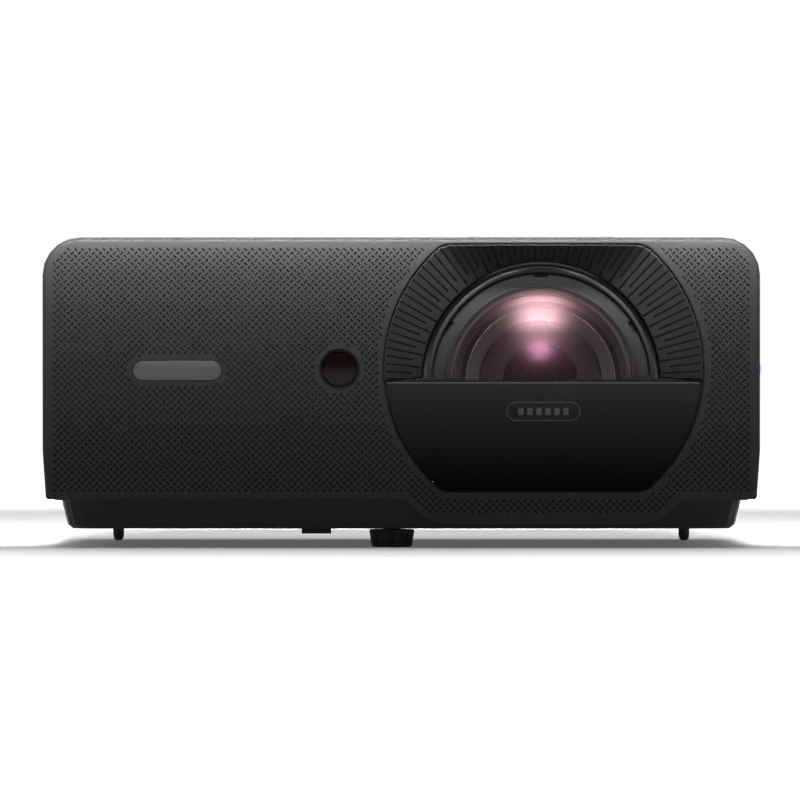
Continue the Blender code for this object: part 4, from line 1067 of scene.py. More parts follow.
    def nameplate(self) -> None:
        """Builds the blank nameplate."""
        size = (self.plate_size[0] - 0.8 * MM, self.plate_size[1] - 0.8 * MM)
        outline = rounded_rectangle(self.plate, size, size[1] / 2 - 0.01 * MM, 10)
        bm = bmesh.new()
        slab(bm, outline, self.front - 0.28 * MM, self.front + 0.6 * MM, 0.35 * MM, 3)
        publish(bm, "blank_nameplate", BADGE_GREY, nodes=("nameplate",))

    def infrared_window(self) -> None:
        """Builds the slightly domed infrared window."""
        bm = bmesh.new()
        radius, front = 7.9 * MM, -self.front - 2.05 * MM
        dome = [(radius * k / 6, front - 0.35 * MM * (k / 6) ** 2) for k in range(6)]
        rim = [(radius - 0.2 * MM, front - 0.4 * MM), (radius, front - 0.6 * MM), (radius, front - 3 * MM)]
        place = Vector((self.sensor[0], 0, self.sensor[1]))
        lathe(bm, [*dome, *rim, (0, front - 3 * MM)], place, "Y", 48)
        publish(bm, "infrared_eye", INFRARED, nodes=("sensor_window",))


# ------------------------------------------------------------------ lens mouth


@dataclass
class LensMouth:
    """The grooved funnel above the shelf, and the dark half cover below it.

    pitch is the angle between grooves, groove half a groove's width, and long_end and short_end are where
    the long and the short grooves start, from the lens axis. The shelf rises by shelf_rise to the back.
    """

    front: float = -134.2 * MM
    back: float = -118.1 * MM
    inner_radius: float = 55.65 * MM
    gap: float = 0.75 * MM
    pitch: float = math.radians(2.88)
    groove: float = 0.4 * MM
    groove_depth: float = 1.4 * MM
    long_end: float = 56.6 * MM
    short_end: float = 60.6 * MM
    shelf_front: float = 77.3 * MM
    shelf_rise: float = 1.9 * MM
    cover_front: float = -134.9 * MM
    cover_back: float = -132.7 * MM
    case_front: float = -135.5 * MM
    badge_middle: tuple[float, float] = (66.2 * MM, 63.7 * MM)
    badge_size: tuple[float, float] = (34.4 * MM, 8.9 * MM)
    badge_line: float = 0.4 * MM
    badge_bars: int = 6
    badge_bar_pitch: float = 4.2 * MM

    def rim_radius(self, angle: float, outline: list[Vector]) -> float:
        """Returns how far from the lens axis the funnel's outer edge is.

        Args:
            angle: the direction from the axis.
            outline: the funnel's outer edge.

        Returns:
            The distance.
        """
        ray = Vector((math.cos(angle), math.sin(angle)))
        axis = Vector((LENS.x, LENS.z))
        for i, p in enumerate(outline):
            a, b = outline[i - 1] - axis, p - axis
            edge = b - a
            cross = ray.x * edge.y - ray.y * edge.x
            if abs(cross) < 1e-12:
                continue
            reach = (a.x * edge.y - a.y * edge.x) / cross
            along = (a.x * ray.y - a.y * ray.x) / cross
            if reach > 0 and -1e-6 <= along <= 1 + 1e-6:
                return reach
        return MOUTH.radius

    def funnel(self) -> None:
        """Builds the funnel's upper part with its radial grooves.

        It starts as a flat grid. A column of the grid runs outwards along one wall of a groove or half way
        between two grooves, and a row runs round the funnel.
        """
        grooves = round(math.tau / self.pitch)
        wall = 0.07 * MM
        offsets = (-self.groove - wall, -self.groove + wall, self.groove - wall, self.groove + wall, None)
        columns = grooves * len(offsets)
        ends = (self.long_end, self.short_end)
        fixed = [self.inner_radius, *(end + step * MM for end in ends for step in (-0.12, 0.0, 0.3, 0.6))]
        shares = (0.2, 0.45, 0.7, 0.95, 1.0)
        rows = len(fixed) + len(shares)
        widths = (0.0, 0.0, 0.62, 0.93, 1.0)
        bm = bmesh.new()
        bmesh.ops.create_grid(bm, x_segments=columns, y_segments=rows - 1, size=0.5)
        outline = MOUTH.outline(-self.gap)
        rims = {}
        for v in bm.verts:
            column = round((v.co.x + 0.5) * columns)
            row = round((v.co.y + 0.5) * (rows - 1))
            number, kind = divmod(column, len(offsets))
            angle = math.pi / 2 + number * self.pitch
            if offsets[kind] is None:
                angle += self.pitch / 2
            rim = rims.setdefault(column, self.rim_radius(angle, outline))
            if row < len(fixed):
                radius = min(fixed[row], rim - (rows - row) * 0.02 * MM)
            else:
                radius = fixed[-1] + (rim - fixed[-1]) * shares[row - len(fixed)]
            first = 1 if number % 2 else 5
            if offsets[kind] is not None:
                width = widths[max(0, min(len(widths) - 1, row - first + 1))]
                angle += offsets[kind] * max(width, 0.3) / radius
            share = min(1.0, max(0.0, (radius - self.inner_radius) / (rim - self.inner_radius)))
            y = self.back + (self.front - self.back) * share
            v.co = Vector((LENS.x + radius * math.cos(angle), y, LENS.z + radius * math.sin(angle)))
            if kind in (1, 2) and first < row < rows - 1:
                v.co.y += self.groove_depth
        bmesh.ops.remove_doubles(bm, verts=bm.verts, dist=0.004 * MM)
        tilt = self.shelf_rise / (self.back - self.case_front)
        at, upwards = Vector((0, self.case_front, self.shelf_front + 0.25 * MM)), Vector((0, -tilt, 1))
        geom = [*bm.verts, *bm.edges, *bm.faces]
        bmesh.ops.bisect_plane(bm, geom=geom, plane_co=at, plane_no=upwards, clear_inner=True)
        bmesh.ops.recalc_face_normals(bm, faces=bm.faces)
        face = max(bm.faces, key=lambda f: f.calc_center_median().z)
        if face.normal.y > 0:
            bmesh.ops.reverse_faces(bm, faces=bm.faces)
        made = publish(
            bm, "grooved_funnel", FUNNEL_BLACK, nodes=("lens_funnel",), smooth=28, recalculate=False
        )
        shell = made.modifiers.new("wall", "SOLIDIFY")
        shell.thickness, shell.offset = 0.7 * MM, -1

    def cover(self) -> None:
        """Builds the half cover."""
        bm = bmesh.new()
        shift = Vector((0, self.cover_front - self.cover_back, 0))
        prism(bm, upright(MOUTH.outline(-self.gap), self.cover_back), shift)
        geom = [*bm.verts, *bm.edges, *bm.faces]
        plane = Vector((0, 0, self.shelf_front))
        done = bmesh.ops.bisect_plane(bm, geom=geom, plane_co=plane, plane_no=(0, 0, 1), clear_outer=True)
        cut = [g for g in done["geom_cut"] if isinstance(g, bmesh.types.BMEdge)]
        bmesh.ops.edgeloop_fill(bm, edges=cut)
        front = [e for e in bm.edges if all(abs(v.co.y - self.cover_front) < 0.01 * MM for v in e.verts)]
        bevel(bm, front, 0.45 * MM, 3)
        # Its finish paints shade that darkens the cover towards its bottom.
        publish(bm, "half_cover", COVER_PAINTED_SHADE, nodes=("lens_cover",), smooth=30)

    def shelf(self) -> None:
        """Builds the shelf that runs back from the cover's top edge to the barrel."""
        half_front, half_back, round_barrel, thickness = 72.8 * MM, 57.4 * MM, 46.5 * MM, 1.6 * MM
        near, far = self.cover_back + 0.05 * MM, self.back - 1 * MM
        outline = [Vector((-half_back, far)), Vector((-half_front, near))]
        outline += [Vector((half_front, near)), Vector((half_back, far))]
        turns = [math.pi * (k / 24) for k in range(25)]
        outline += [Vector((round_barrel * math.cos(a), far - 7.5 * MM * math.sin(a))) for a in turns]
        bm = bmesh.new()
        points = [Vector((LENS.x + p.x, p.y, self.shelf_front)) for p in outline]
        prism(bm, points, Vector((0, 0, -thickness)))
        for v in bm.verts:
            v.co.z += self.shelf_rise * (v.co.y - self.case_front) / (self.back - self.case_front)
        publish(bm, "cover_shelf", SATIN_BLACK, smooth=30)

    def gap_shade_ring(self) -> None:
        """Builds the black ring behind the gap round the cover: painted shade that keeps the gap dark."""
        bm = bmesh.new()
        rows = []
        for grow, y in ((-0.65, -132.3), (0.6, -132.3), (0.6, -131.8), (-0.65, -131.8), (-0.65, -132.3)):
            rows.append(upright(MOUTH.outline(grow * MM), y * MM))
        loft(bm, rows)
        bmesh.ops.remove_doubles(bm, verts=bm.verts, dist=0.001 * MM)
        # Painted shade: the ring is near black so that the gap reads as shadow.
        publish(bm, "mouth_gap_shade", DEEP_BLACK)

    def highlight_strip(self) -> None:
        """Builds the thin lighter strip along the cover's upper front edge: a painted highlight."""
        bm = bmesh.new()
        half, z = MOUTH.radius - self.gap - 1.1 * MM, self.shelf_front - 0.3 * MM
        outline = rounded_rectangle((MOUTH.x, z), (2 * half, 0.5 * MM), 0.2 * MM, 3)
        slab(bm, outline, self.cover_front - 0.08 * MM, self.cover_front + 0.4 * MM)
        publish(bm, "cover_edge_highlight", EDGE_HIGHLIGHT)

    def badge(self) -> None:
        """Builds the capsule outline on the cover, with a plain pattern of small bars in it."""
        (x, z), (width, height), y = self.badge_middle, self.badge_size, self.cover_front
        bm = bmesh.new()
        rows = []
        for lines, lift in ((0, 0.01), (0, -0.05), (2, -0.05), (2, 0.01)):
            less = lines * self.badge_line
            size = (width - less, height - less)
            edge = rounded_rectangle((x, z), size, size[1] / 2 - 0.01 * MM, 12)
            rows.append(upright(edge, y + lift * MM))
        loft(bm, rows)
        for k in range(self.badge_bars):
            at = x + (k - (self.badge_bars - 1) / 2) * self.badge_bar_pitch
            outline = rounded_rectangle((at, z), (2.5 * MM, 3.4 * MM), 0.5 * MM, 3)
            slab(bm, outline, y - 0.05 * MM, y + 0.01 * MM)
        publish(bm, "cover_badge", BADGE_LINE)

    def build(self) -> None:
        """Builds the funnel, and the cover with its shelf, painted-shade ring, painted highlight edge and
        badge.
        """
        self.funnel()
        self.cover()
        self.shelf()
        self.gap_shade_ring()
        self.highlight_strip()
        self.badge()


# ------------------------------------------------------------------ lens


@dataclass
class LensUnit:
    """The barrel's lip, the notched trim ring, the stepped baffles and the coated elements.

    Profiles are (radius, distance in front of the world's XZ plane) in millimetres.
    """

    steps: int = 128
    moving: str = "front_group"
    notches: tuple[int, ...] = (30, 90, 150, 210, 270, 330)
    half_notch: float = 3.6

    def turned(
        self,
        name: str,
        profile: list[tuple[float, float]],
        finish: Finish,
        body: str = CASE,
        nodes: tuple[str, ...] = (),
        closed: bool = True,
        smooth: float = 30.0,
    ) -> bpy.types.Object:
        """Builds a part turned about the lens axis.

        Args:
            name: its name.
            profile: its outline.
            finish: its finish.
            body: the body it moves with.
            nodes: the CAD nodes it stands for.
            closed: whether the outline closes on itself; if not, it starts and ends on the axis.
            smooth: the angle past which an edge is sharp.

        Returns:
            The object.
        """
        points = [(radius * MM, distance * MM) for radius, distance in profile]
        if closed:
            points.append(points[0])
        bm = bmesh.new()
        lathe(bm, points, LENS, "Y", self.steps)
        return publish(bm, name, finish, body, nodes, smooth)

    def dome(self, front: float, radius: float, sag: float, count: int = 12) -> list[tuple[float, float]]:
        """Returns the outline of a dome from its pole to its edge.

        Args:
            front: the pole's distance in front.
            radius: the dome's radius at its edge.
            sag: how far its edge is behind its pole.
            count: steps from the pole to the edge.

        Returns:
            Its points.
        """
        ball = (radius**2 + sag**2) / (2 * sag)
        radii = [radius * k / count for k in range(count + 1)]
        return [(r, front - ball + math.sqrt(ball**2 - r**2)) for r in radii]

    def element(
        self,
        name: str,
        front: float,
        radius: float,
        sag: float,
        thickness: float,
        finish: Finish,
        nodes: tuple[str, ...] = (),
    ) -> None:
        """Builds a lens element with two curved faces and a ground edge.

        Args:
            name: its name.
            front: how far in front its pole is.
            radius: its radius.
            sag: how far its edge is behind its pole.
            thickness: its thickness on the axis.
            finish: its finish.
            nodes: the CAD nodes it stands for.
        """
        outer = self.dome(front, radius, sag)
        inner = [(r, d - thickness) for r, d in reversed(outer)]
        inner[0] = (radius, outer[-1][1] - min(1.6, thickness))
        self.turned(name, outer + inner, finish, self.moving, nodes, closed=False, smooth=50)

    def build(self) -> None:
        """Builds every part of the lens that shows."""
        lip = [(51.3, 118.6), (51.5, 119.0), (52.0, 119.2), (52.6, 119.2), (53.0, 119.0), (53.2, 118.5)]
        self.turned("barrel_lip", [*lip, (53.2, 116.5), (51.3, 116.5)], LIP_BLACK)
        barrel = [(53.1, 116.4), (53.2, 108.9), (49.5, 108.9), (49.5, 29), (58, 29), (58, 24.4)]
        barrel += [(36.3, 24.4), (36.3, 56), (46.6, 56), (46.6, 111.4), (50.9, 111.4), (50.9, 116.4)]
        self.turned("barrel_tube", barrel, DEEP_BLACK, nodes=("lens_barrel",))
        self.trim_ring()
        self.baffles()
        self.element("front_element", 128.4, 43.4, 11.5, 3.2, FRONT_GLASS, ("front_glass",))
        self.element("second_element", 103.6, 28.4, 9.5, 2.6, INNER_GLASS, ("second_glass",))

    def trim_ring(self) -> None:
        """Builds the flat ring with bayonet notches in its outer edge."""
        profile = [(50.2, 116.5), (50.4, 116.3), (50.4, 111.9), (46.4, 111.9), (46.4, 113.2), (43.9, 113.2)]
        profile += [(43.9, 117.2), (44.1, 117.4), (44.6, 117.4), (44.9, 117.1), (45.4, 116.7), (48.7, 116.6)]
        profile += [(48.8, 116.6)]
        bm = bmesh.new()
        points = [(r * MM, d * MM) for r, d in profile]
        lathe(bm, [*points, points[0]], LENS, "Y", 180)
        for centre in self.notches:
            for v in bm.verts:
                away = Vector((v.co.x - LENS.x, v.co.z - LENS.z))
                turn = math.degrees(math.atan2(away.y, away.x)) % 360
                on_edge = away.length > 48.75 * MM and v.co.y < -115 * MM
                if on_edge and abs(turn - centre) < self.half_notch:
                    v.co.y += 1.6 * MM
        publish(bm, "notched_ring", RING_DARK, nodes=("front_trim_ring",), smooth=25)

    def baffles(self) -> None:
        """Builds the rings seen through the front glass, from the edge to the second element."""
        body = self.moving
        edge = [(43.3, 111.6), (43.3, 110.4), (42.9, 110.2), (42.6, 109), (41.0, 108.6), (40.9, 106)]
        self.turned("edge_band", [*edge, (45.9, 106), (45.9, 111.6)], RING_SILVER, body, ("lens_baffle",))
        outer = [(40.7, 108.2), (40.3, 108.4), (37.8, 105.6), (37.6, 105.2), (37.6, 104), (40.7, 104)]
        self.turned("outer_band", outer, RING_GREY, body)
        black = [(45.9, 105.8), (40.5, 103.8), (37.5, 103.6), (35.2, 100.8), (35.2, 97.2), (45.9, 97.2)]
        self.turned("black_band", black, RING_BLACK, body)
        cone = [(35.1, 103.4), (34.6, 103.6), (28.9, 99.4), (28.8, 98.6), (28.8, 94)]
        self.turned("inner_cone", [*cone, (45.9, 94), (45.9, 97), (35.1, 97)], RING_GREY, body)
        step = [(28.6, 93.9), (17.6, 91.2), (17.4, 90.4), (17.4, 88), (28.6, 88)]
        self.turned("well_step", step, RING_BLACK, body)
        self.element("third_element", 90.4, 17.3, 4.6, 2.0, PUPIL_GLASS)
        stop = [(17.2, 84.5), (8.2, 84.2), (7.9, 83.6), (7.9, 82.8), (17.2, 82.8)]
        self.turned("aperture_stop", stop, DEEP_BLACK, body)
        self.element("centre_element", 83.6, 7.8, 2.6, 1.4, CENTRE_GLASS)
        zoom = [(46.2, 76), (46.2, 62), (17.9, 62), (17.9, 66), (26, 74), (30, 76)]
        self.turned("zoom_carrier", zoom, DEEP_BLACK, "zoom_group", ("zoom_cell",))


# ------------------------------------------------------------------ keys, feet, screws and sockets


class Sign(Enum):
    """What is printed on a key."""

    RING = "ring"
    POWER = "power"
    SCREEN = "screen"
    RETURN = "return"
    UP = "up"
    DOWN = "down"
    LEFT = "left"
    RIGHT = "right"


@dataclass
class Keypad:
    """The eight keys of the top, each a crowned cap with a printed sign."""

    top: float = 145.62 * MM
    low: float = 140.0 * MM
    pad: tuple[float, float] = (-92 * MM, 74 * MM)
    reach: float = 13 * MM
    arrow_long: float = 11 * MM
    arrow_short: float = 8 * MM

    def sign(self, sign: Sign, x: float, y: float) -> list[list[Vector]]:
        """Returns the outlines of a sign.

        Args:
            sign: which one.
            x: its middle's X.
            y: its middle's Y.

        Returns:
            The points of each outline.
        """
        if sign is Sign.RING:
            return [arc_band((x, y), 2.3 * MM, 0.5 * MM, a, a + 180) for a in (0, 180)]
        if sign is Sign.POWER:
            bar = rounded_rectangle((x, y + 1.7 * MM), (0.6 * MM, 2.6 * MM), 0.25 * MM, 2)
            return [arc_band((x, y), 2.6 * MM, 0.6 * MM, 120, 420), bar]
        if sign is Sign.SCREEN:
            hoop = arc_band((x, y), 1.9 * MM, 0.45 * MM, 60, 300)
            return [hoop, self.triangle(x + 0.9 * MM, y, 1.2 * MM, 0)]
        if sign is Sign.RETURN:
            hook = arc_band((x + 0.2 * MM, y), 1.8 * MM, 0.45 * MM, -130, 120)
            return [hook, self.triangle(x - 1.1 * MM, y + 1.5 * MM, 1.1 * MM, 180)]
        heading = {Sign.RIGHT: 0, Sign.UP: 90, Sign.LEFT: 180, Sign.DOWN: 270}[sign]
        return [self.triangle(x, y, 1.8 * MM, heading)]

    def triangle(self, x: float, y: float, size: float, heading: float) -> list[Vector]:
        """Returns a triangle that points along a heading in degrees, from its middle and its size."""
        turns = [math.radians(heading + step) for step in (0, 120, 240)]
        return [Vector((x + size * math.cos(a), y + size * math.sin(a))) for a in turns]

    def key(self, name: str, cap_mesh: bmesh.types.BMesh, sign: Sign, x: float, y: float) -> None:
        """Makes a key's cap an object and prints its sign.

        Args:
            name: the CAD node it stands for.
            cap_mesh: the cap.
            sign: what is printed on it.
            x: its middle's X.
            y: its middle's Y.
        """
        publish(cap_mesh, f"{name}_top", KEY_BLACK, f"{name}_cap", (name,))
        bm = bmesh.new()
        for outline in self.sign(sign, x, y):
            lying_slab(bm, outline, self.top - 0.05 * MM, self.top + 0.03 * MM)
        publish(bm, f"{name}_sign", PRINT_WHITE, f"{name}_cap")

    def round_cap(self, x: float, y: float, radius: float) -> bmesh.types.BMesh:
        """Returns a round cap with a flange below.

        Args:
            x: its middle's X.
            y: its middle's Y.
            radius: its radius.

        Returns:
            The cap's mesh.
        """
        top, low, flange = self.top, self.low, radius + 1 * MM
        outline = [(0, top), (radius - 0.7 * MM, top), (radius - 0.25 * MM, top - 0.08 * MM)]
        outline += [(radius, top - 0.35 * MM), (radius, low), (flange, low)]
        outline += [(flange, low - 0.9 * MM), (0, low - 0.9 * MM)]
        bm = bmesh.new()
        lathe(bm, outline, Vector((x, y, 0)), "Z", 48)
        return bm

    def build(self) -> None:
        """Builds the caps and their signs."""
        x, y = self.pad
        round_keys = {
            "ok_key": (x, y, 5.5 * MM, Sign.RING),
            "power_key": (-48 * MM, y, 6.5 * MM, Sign.POWER),
            "source_key": (-124 * MM, y + 9 * MM, 4.5 * MM, Sign.SCREEN),
            "back_key": (-124 * MM, y - 9 * MM, 4.5 * MM, Sign.RETURN),
        }
        for name, (at_x, at_y, radius, sign) in round_keys.items():
            self.key(name, self.round_cap(at_x, at_y, radius), sign, at_x, at_y)
        for sign, right, up in ((Sign.UP, 0, 1), (Sign.DOWN, 0, -1), (Sign.LEFT, -1, 0), (Sign.RIGHT, 1, 0)):
            at = (x + right * self.reach, y + up * self.reach)
            size = (self.arrow_long, self.arrow_short) if up else (self.arrow_short, self.arrow_long)
            bm = bmesh.new()
            lying_slab(bm, rounded_rectangle(at, size, 2.7 * MM, 6), self.low, self.top, 0.35 * MM)
            self.key(f"{sign.value}_key", bm, sign, *at)


@dataclass
class LensRings:
    """The ribbed focus and zoom rings that turn on the barrel."""

    inner: float = 49.9 * MM
    ribs: int = 90
    rib_width: float = 1.1 * MM
    rib_height: float = 1.6 * MM
    rib_margin: float = 1.6 * MM
    tab_height: float = 1.7 * MM

    def ring(self, name: str, radius: float, start: float, end: float) -> None:
        """Builds one ring: a turned body with shallow ribs and a finger tab at the top.

        Args:
            name: the CAD node it stands for.
            radius: its outer radius over the ribs.
            start: its back end, in front of the world's XZ plane.
            end: its front end.
        """
        bm = bmesh.new()
        low, chamfer = radius - 0.8 * MM, 0.6 * MM
        profile = [(self.inner, start), (low - chamfer, start), (low, start + chamfer)]
        profile += [(low, end - chamfer), (low - chamfer, end), (self.inner, end), (self.inner, start)]
        lathe(bm, profile, LENS, "Y", 120)
        middle, long = -(start + end) / 2, (end - start) - 2 * self.rib_margin
        for k in range(self.ribs):
            made = bmesh.ops.create_cube(bm, size=1)["verts"]
            bmesh.ops.scale(bm, vec=(self.rib_width, long, self.rib_height), verts=made)
            for v in made:
                if v.co.z > 0:
                    v.co.x *= 0.6
                    v.co.y *= 0.95
            bmesh.ops.translate(bm, vec=(0, middle, radius - self.rib_height / 2), verts=made)
            turn = Matrix.Rotation(math.tau * k / self.ribs, 3, "Y")
            bmesh.ops.rotate(bm, verts=made, matrix=turn)
            bmesh.ops.translate(bm, vec=(LENS.x, 0, LENS.z), verts=made)
        tab = rounded_rectangle((LENS.x, middle), (8 * MM, (end - start) * 0.68), 1.5 * MM, 4)
        lying_slab(bm, tab, LENS.z + low - 2 * MM, LENS.z + radius + self.tab_height, 0.5 * MM)
        publish(bm, f"{name}_ribbed", KEY_BLACK, f"{name}_body", (name,))

    def build(self) -> None:
        """Builds both rings."""
        self.ring("focus_ring", 56.4 * MM, 92 * MM, 108 * MM)
        self.ring("zoom_ring", 55.4 * MM, 68 * MM, 84 * MM)


@dataclass
class Fittings:
    """The feet, the case screws and the blue light.

    Turned outlines, the screws' places and the light's reach are in millimetres.
    """

    front: tuple[float, float] = (-4.4 * MM, -100 * MM)
    rear: tuple[float, float] = (138 * MM, 85 * MM)
    flutes: int = 8
    flute_depth: float = 0.8 * MM
    screw_places: tuple[tuple[float, float], ...] = ((-148, -105), (148, -105), (-148, 100), (148, 100))
    light_reach: float = 168.1

    def front_foot(self) -> None:
        """Builds the fluted knob on its shank."""
        bm = bmesh.new()
        knob = [(0, 40), (6.2, 40), (6.2, 38.4), (4, 38.4), (4, 8.4), (10, 8.4), (10.4, 8.2), (10.6, 7.7)]
        knob += [(10.1, 4.4), (9.6, 1.1), (9.2, 0.4), (8.6, 0), (6.4, 0), (6.1, 0.3), (0, 0.3)]
        lathe(bm, [(r * MM, z * MM) for r, z in knob], Vector((*self.front, 0)), "Z", 160)
        for v in bm.verts:
            away = Vector((v.co.x - self.front[0], v.co.y - self.front[1]))
            if away.length < 8 * MM or v.co.z > 8.1 * MM:
                continue
            turn = math.atan2(away.y, away.x) * self.flutes / math.tau
            if abs(turn - round(turn)) < 0.1:
                v.co.x -= away.x / away.length * self.flute_depth
                v.co.y -= away.y / away.length * self.flute_depth
        publish(bm, "front_knob", RUBBER, "front_foot_screw", ("front_foot",), 30)

    def rear_feet(self) -> None:
        """Builds the two slim rear feet."""
        pin = [(0, 31), (4, 31), (4, 29.6), (2.5, 29.6), (2.5, 8.6), (2.7, 8.4), (2.62, 3), (2.5, 1.9)]
        pin += [(2.2, 1.0), (1.7, 0.4), (1.1, 0.08), (0, 0)]
        for side, x in (("left", -self.rear[0]), ("right", self.rear[0])):
            bm = bmesh.new()
            lathe(bm, [(r * MM, z * MM) for r, z in pin], Vector((x, self.rear[1], 0)), "Z", 40)
            publish(bm, f"rear_pin_{side}", RUBBER, f"rear_foot_{side}_screw", (f"rear_foot_{side}",))

    def screws(self) -> None:
        """Builds the four case screws with round recesses."""
        shank = [(0, 34), (1.1, 34), (1.5, 33), (1.5, 13.6)]
        head = [(3.2, 13.6), (3.2, 12.1), (3.0, 11.7), (2.5, 11.4)]
        recess = [(1.6, 11.4), (1.5, 11.6), (1.3, 12.7), (0, 13.0)]
        for number, (x, y) in enumerate(self.screw_places, 1):
            bm = bmesh.new()
            lathe(bm, [(r * MM, z * MM) for r, z in shank + head + recess], Vector((x, y, 0)) * MM, "Z", 24)
            publish(bm, f"screw_{number}", STEEL, nodes=(f"case_screw_{number}",))

    def light(self) -> None:
        """Builds the domed blue light guide."""
        bm = bmesh.new()
        radius, reach = 3.3, self.light_reach
        turns = [math.pi / 2 * k / 8 for k in range(9)]
        dome = [(radius * math.sin(a), reach - 0.75 + 1.4 * math.cos(a)) for a in turns]
        points = [(r * MM, h * MM) for r, h in [*dome, (radius, reach - 4), (0, reach - 4)]]
        lathe(bm, points, Vector((0, -104 * MM, 83.1 * MM)), "X", 40)
        publish(bm, "blue_dome", BLUE_LIGHT, nodes=("status_light",))

    def build(self) -> None:
        """Builds every fitting."""
        self.front_foot()
        self.rear_feet()
        self.screws()
        self.light()


@dataclass
class Contacts:
    """The gilt contacts in the sockets, and the hexagon nuts beside the serial socket.

    The serial socket's sizes are in millimetres.
    """

    level: float = 62 * MM
    mouth: float = 131.3 * MM
    serial_x: float = 106.0
    pin_pitch: float = 2.77
    pin_rise: float = 1.42
    nut_reach: float = 12.5

    def row(self, name: str, x: float, z: float, count: int, pitch: float) -> None:
        """Builds a row of flat contacts on a socket's tongue.

        Args:
            name: its name.
            x: the row's middle.
            z: the tongue's face.
            count: how many contacts.
            pitch: the distance between them.
        """
        bm = bmesh.new()
        for k in range(count):
            at = x + (k - (count - 1) / 2) * pitch
            size = (pitch * 0.55, 6.2 * MM)
            outline = rounded_rectangle((at, self.mouth - 5.2 * MM), size, pitch * 0.1, 2)
            lying_slab(bm, outline, z - 0.03 * MM, z + 0.04 * MM)
        publish(bm, name, GOLD)

    def pins(self) -> None:
        """Builds the nine pins and the two nuts of the serial socket."""
        bm = bmesh.new()
        pin = [(0, 134.2), (0.3, 134.1), (0.5, 133.7), (0.5, 128.1), (0, 128.1)]
        for rise, count in ((self.pin_rise, 5), (-self.pin_rise, 4)):
            for k in range(count):
                x = self.serial_x + (k - (count - 1) / 2) * self.pin_pitch
                place = Vector((x * MM, 0, self.level + rise * MM))
                lathe(bm, [(r * MM, -y * MM) for r, y in pin], place, "Y", 12)
        publish(bm, "serial_pins", GOLD)
        bm = bmesh.new()
        for x in (self.serial_x - self.nut_reach, self.serial_x + self.nut_reach):
            nut = circle((x * MM, self.level), 2.6 * MM, 6)
            slab(bm, nut, 134.6 * MM, 131.55 * MM, 0.3 * MM)
        publish(bm, "serial_nuts", STEEL)

    def build(self) -> None:
        """Builds all the contacts."""
        for name, x in (("video_contacts_1", 12), ("video_contacts_2", 34)):
            self.row(name, x * MM, self.level + 1.1 * MM, 10, 1.0 * MM)
        self.row("usb_contacts", 56 * MM, self.level + 1.9 * MM, 4, 2.5 * MM)
        self.pins()


# ------------------------------------------------------------------ studio


@dataclass(frozen=True)
class SoftBox:
    """A soft rectangular light.

    target is the point it faces, power is in watts and spread is the angle of its beam in degrees. A box
    for the lens shows only as a reflection in the lens, and a box that isn't mirrored never shows as one.
    """

    name: str
    place: tuple[float, float, float]
    target: tuple[float, float, float]
    size: tuple[float, float]
    power: float
    colour: tuple[float, float, float] = (1.0, 1.0, 1.0)
    spread: float = 180.0
    for_lens: bool = False
    mirrored: bool = True

    def build(self, lens_pieces: bpy.types.Collection) -> None:
        """Adds the light.

        Args:
            lens_pieces: the pieces that a light for the lens reaches.
        """
        data = bpy.data.lights.new(self.name, "AREA")
        data.shape = "RECTANGLE"
        data.size, data.size_y = self.size
        data.energy = self.power
        data.color = self.colour
        data.spread = math.radians(self.spread)
        made = bpy.data.objects.new(self.name, data)
        bpy.context.scene.collection.objects.link(made)
        made.location = self.place
        facing = Vector(self.target) - Vector(self.place)
        made.rotation_euler = facing.to_track_quat("-Z", "Y").to_euler()
        made.visible_camera = False
        made.visible_diffuse = not self.for_lens
        made.visible_glossy = self.mirrored
        if self.for_lens:
            made.light_linking.receiver_collection = lens_pieces


LENS_FACE = (LENS.x, -0.12, LENS.z + 0.03)
SOFT_BOXES = (
    SoftBox("overhead_box", (0.0, 0.1, 1.9), (0, 0, 0), (2.6, 2.2), 17),
    SoftBox("left_box", (-2.2, -0.6, 1.1), (0, 0, 0.05), (0.8, 1.6), 5),
    SoftBox("right_box", (2.2, -0.6, 1.1), (0, 0, 0.05), (0.8, 1.6), 5),
    SoftBox("back_box", (0.0, 2.6, 1.5), (0, 0, 0.05), (2.4, 0.9), 18),
    SoftBox("gradient_strip", (0.0, -0.62, 0.52), (0, -0.1355, 0.25), (1.1, 0.05), 2.9, spread=34),
    SoftBox(
        "edge_strip", (0.0, -0.19, 0.215), (0, -0.1355, 0.168), (0.36, 0.02), 1.1, spread=50, mirrored=False
    ),
    SoftBox("lens_box", (0.065, -0.60, 0.84), LENS_FACE, (0.4, 0.8), 44, (1.0, 0.84, 0.86), for_lens=True),
    SoftBox("lens_soft", (0.065, -0.36, 1.0), LENS_FACE, (1.0, 0.6), 2.6, (1.0, 0.8, 0.82), for_lens=True),
)


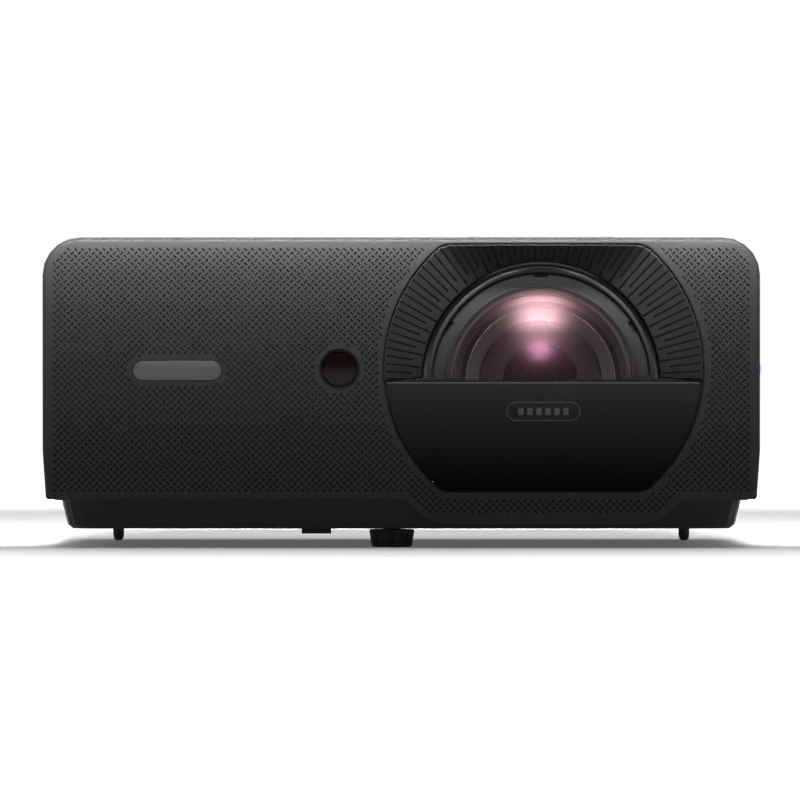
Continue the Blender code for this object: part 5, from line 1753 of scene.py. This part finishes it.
@dataclass
class Studio:
    """The pale floor, the soft lights and the camera."""

    distance: float = 4.5
    eye: float = 0.078
    ambient: float = 0.06
    floor_reach: float = 30.0
    lens_pieces: tuple[str, ...] = (
        *("front_element", "second_element", "third_element", "centre_element"),
        *("edge_band", "outer_band", "inner_cone", "well_step"),
    )

    def floor(self) -> None:
        """Builds the floor."""
        bm = bmesh.new()
        bmesh.ops.create_grid(bm, x_segments=1, y_segments=1, size=self.floor_reach)
        mesh = bpy.data.meshes.new("studio_floor")
        bm.to_mesh(mesh)
        bm.free()
        floor = bpy.data.objects.new("studio_floor", mesh)
        bpy.context.scene.collection.objects.link(floor)
        mesh.materials.append(FLOOR_WHITE.build())

    def world(self) -> None:
        """Makes the surroundings white to the camera and dim to everything else."""
        world = bpy.data.worlds.new("studio")
        bpy.context.scene.world = world
        world.use_nodes = True
        nodes, links = world.node_tree.nodes, world.node_tree.links
        back = nodes["Background"]
        back.inputs["Color"].default_value = (1, 1, 1, 1)
        path = nodes.new("ShaderNodeLightPath")
        level = nodes.new("ShaderNodeMapRange")
        level.inputs["To Min"].default_value = self.ambient
        links.new(path.outputs["Is Camera Ray"], level.inputs["Value"])
        links.new(level.outputs["Result"], back.inputs["Strength"])

    def lights(self) -> None:
        """Adds the lights."""
        lens_pieces = bpy.data.collections.new("lens_receivers")
        for name in self.lens_pieces:
            lens_pieces.objects.link(bpy.data.objects[name])
        for box in SOFT_BOXES:
            box.build(lens_pieces)

    def camera(self) -> None:
        """Adds a long lens far in front, level with the middle of the case."""
        camera = bpy.data.cameras.new("camera")
        camera.sensor_width = 36.0
        camera.lens = 435.0
        camera.clip_end = 60.0
        camera.shift_y = -0.0242
        eye = bpy.data.objects.new("camera", camera)
        bpy.context.scene.collection.objects.link(eye)
        eye.location = (-0.0006, -0.1355 - self.distance, self.eye)
        eye.rotation_euler = (math.pi / 2, 0, 0)
        bpy.context.scene.camera = eye
        bpy.context.scene.view_settings.view_transform = "Standard"

    def build(self) -> None:
        """Builds the floor, lights and camera."""
        self.floor()
        self.world()
        self.lights()
        self.camera()


def main() -> None:
    """Builds every sub-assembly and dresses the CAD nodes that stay."""
    logging.basicConfig(level=logging.INFO, format="%(message)s")
    dress_nodes()
    for assembly in (FrontBezel, LensMouth, LensUnit, LensRings, Keypad, Fittings, Contacts, Studio):
        assembly().build()


if __name__ == "__main__":
    main()
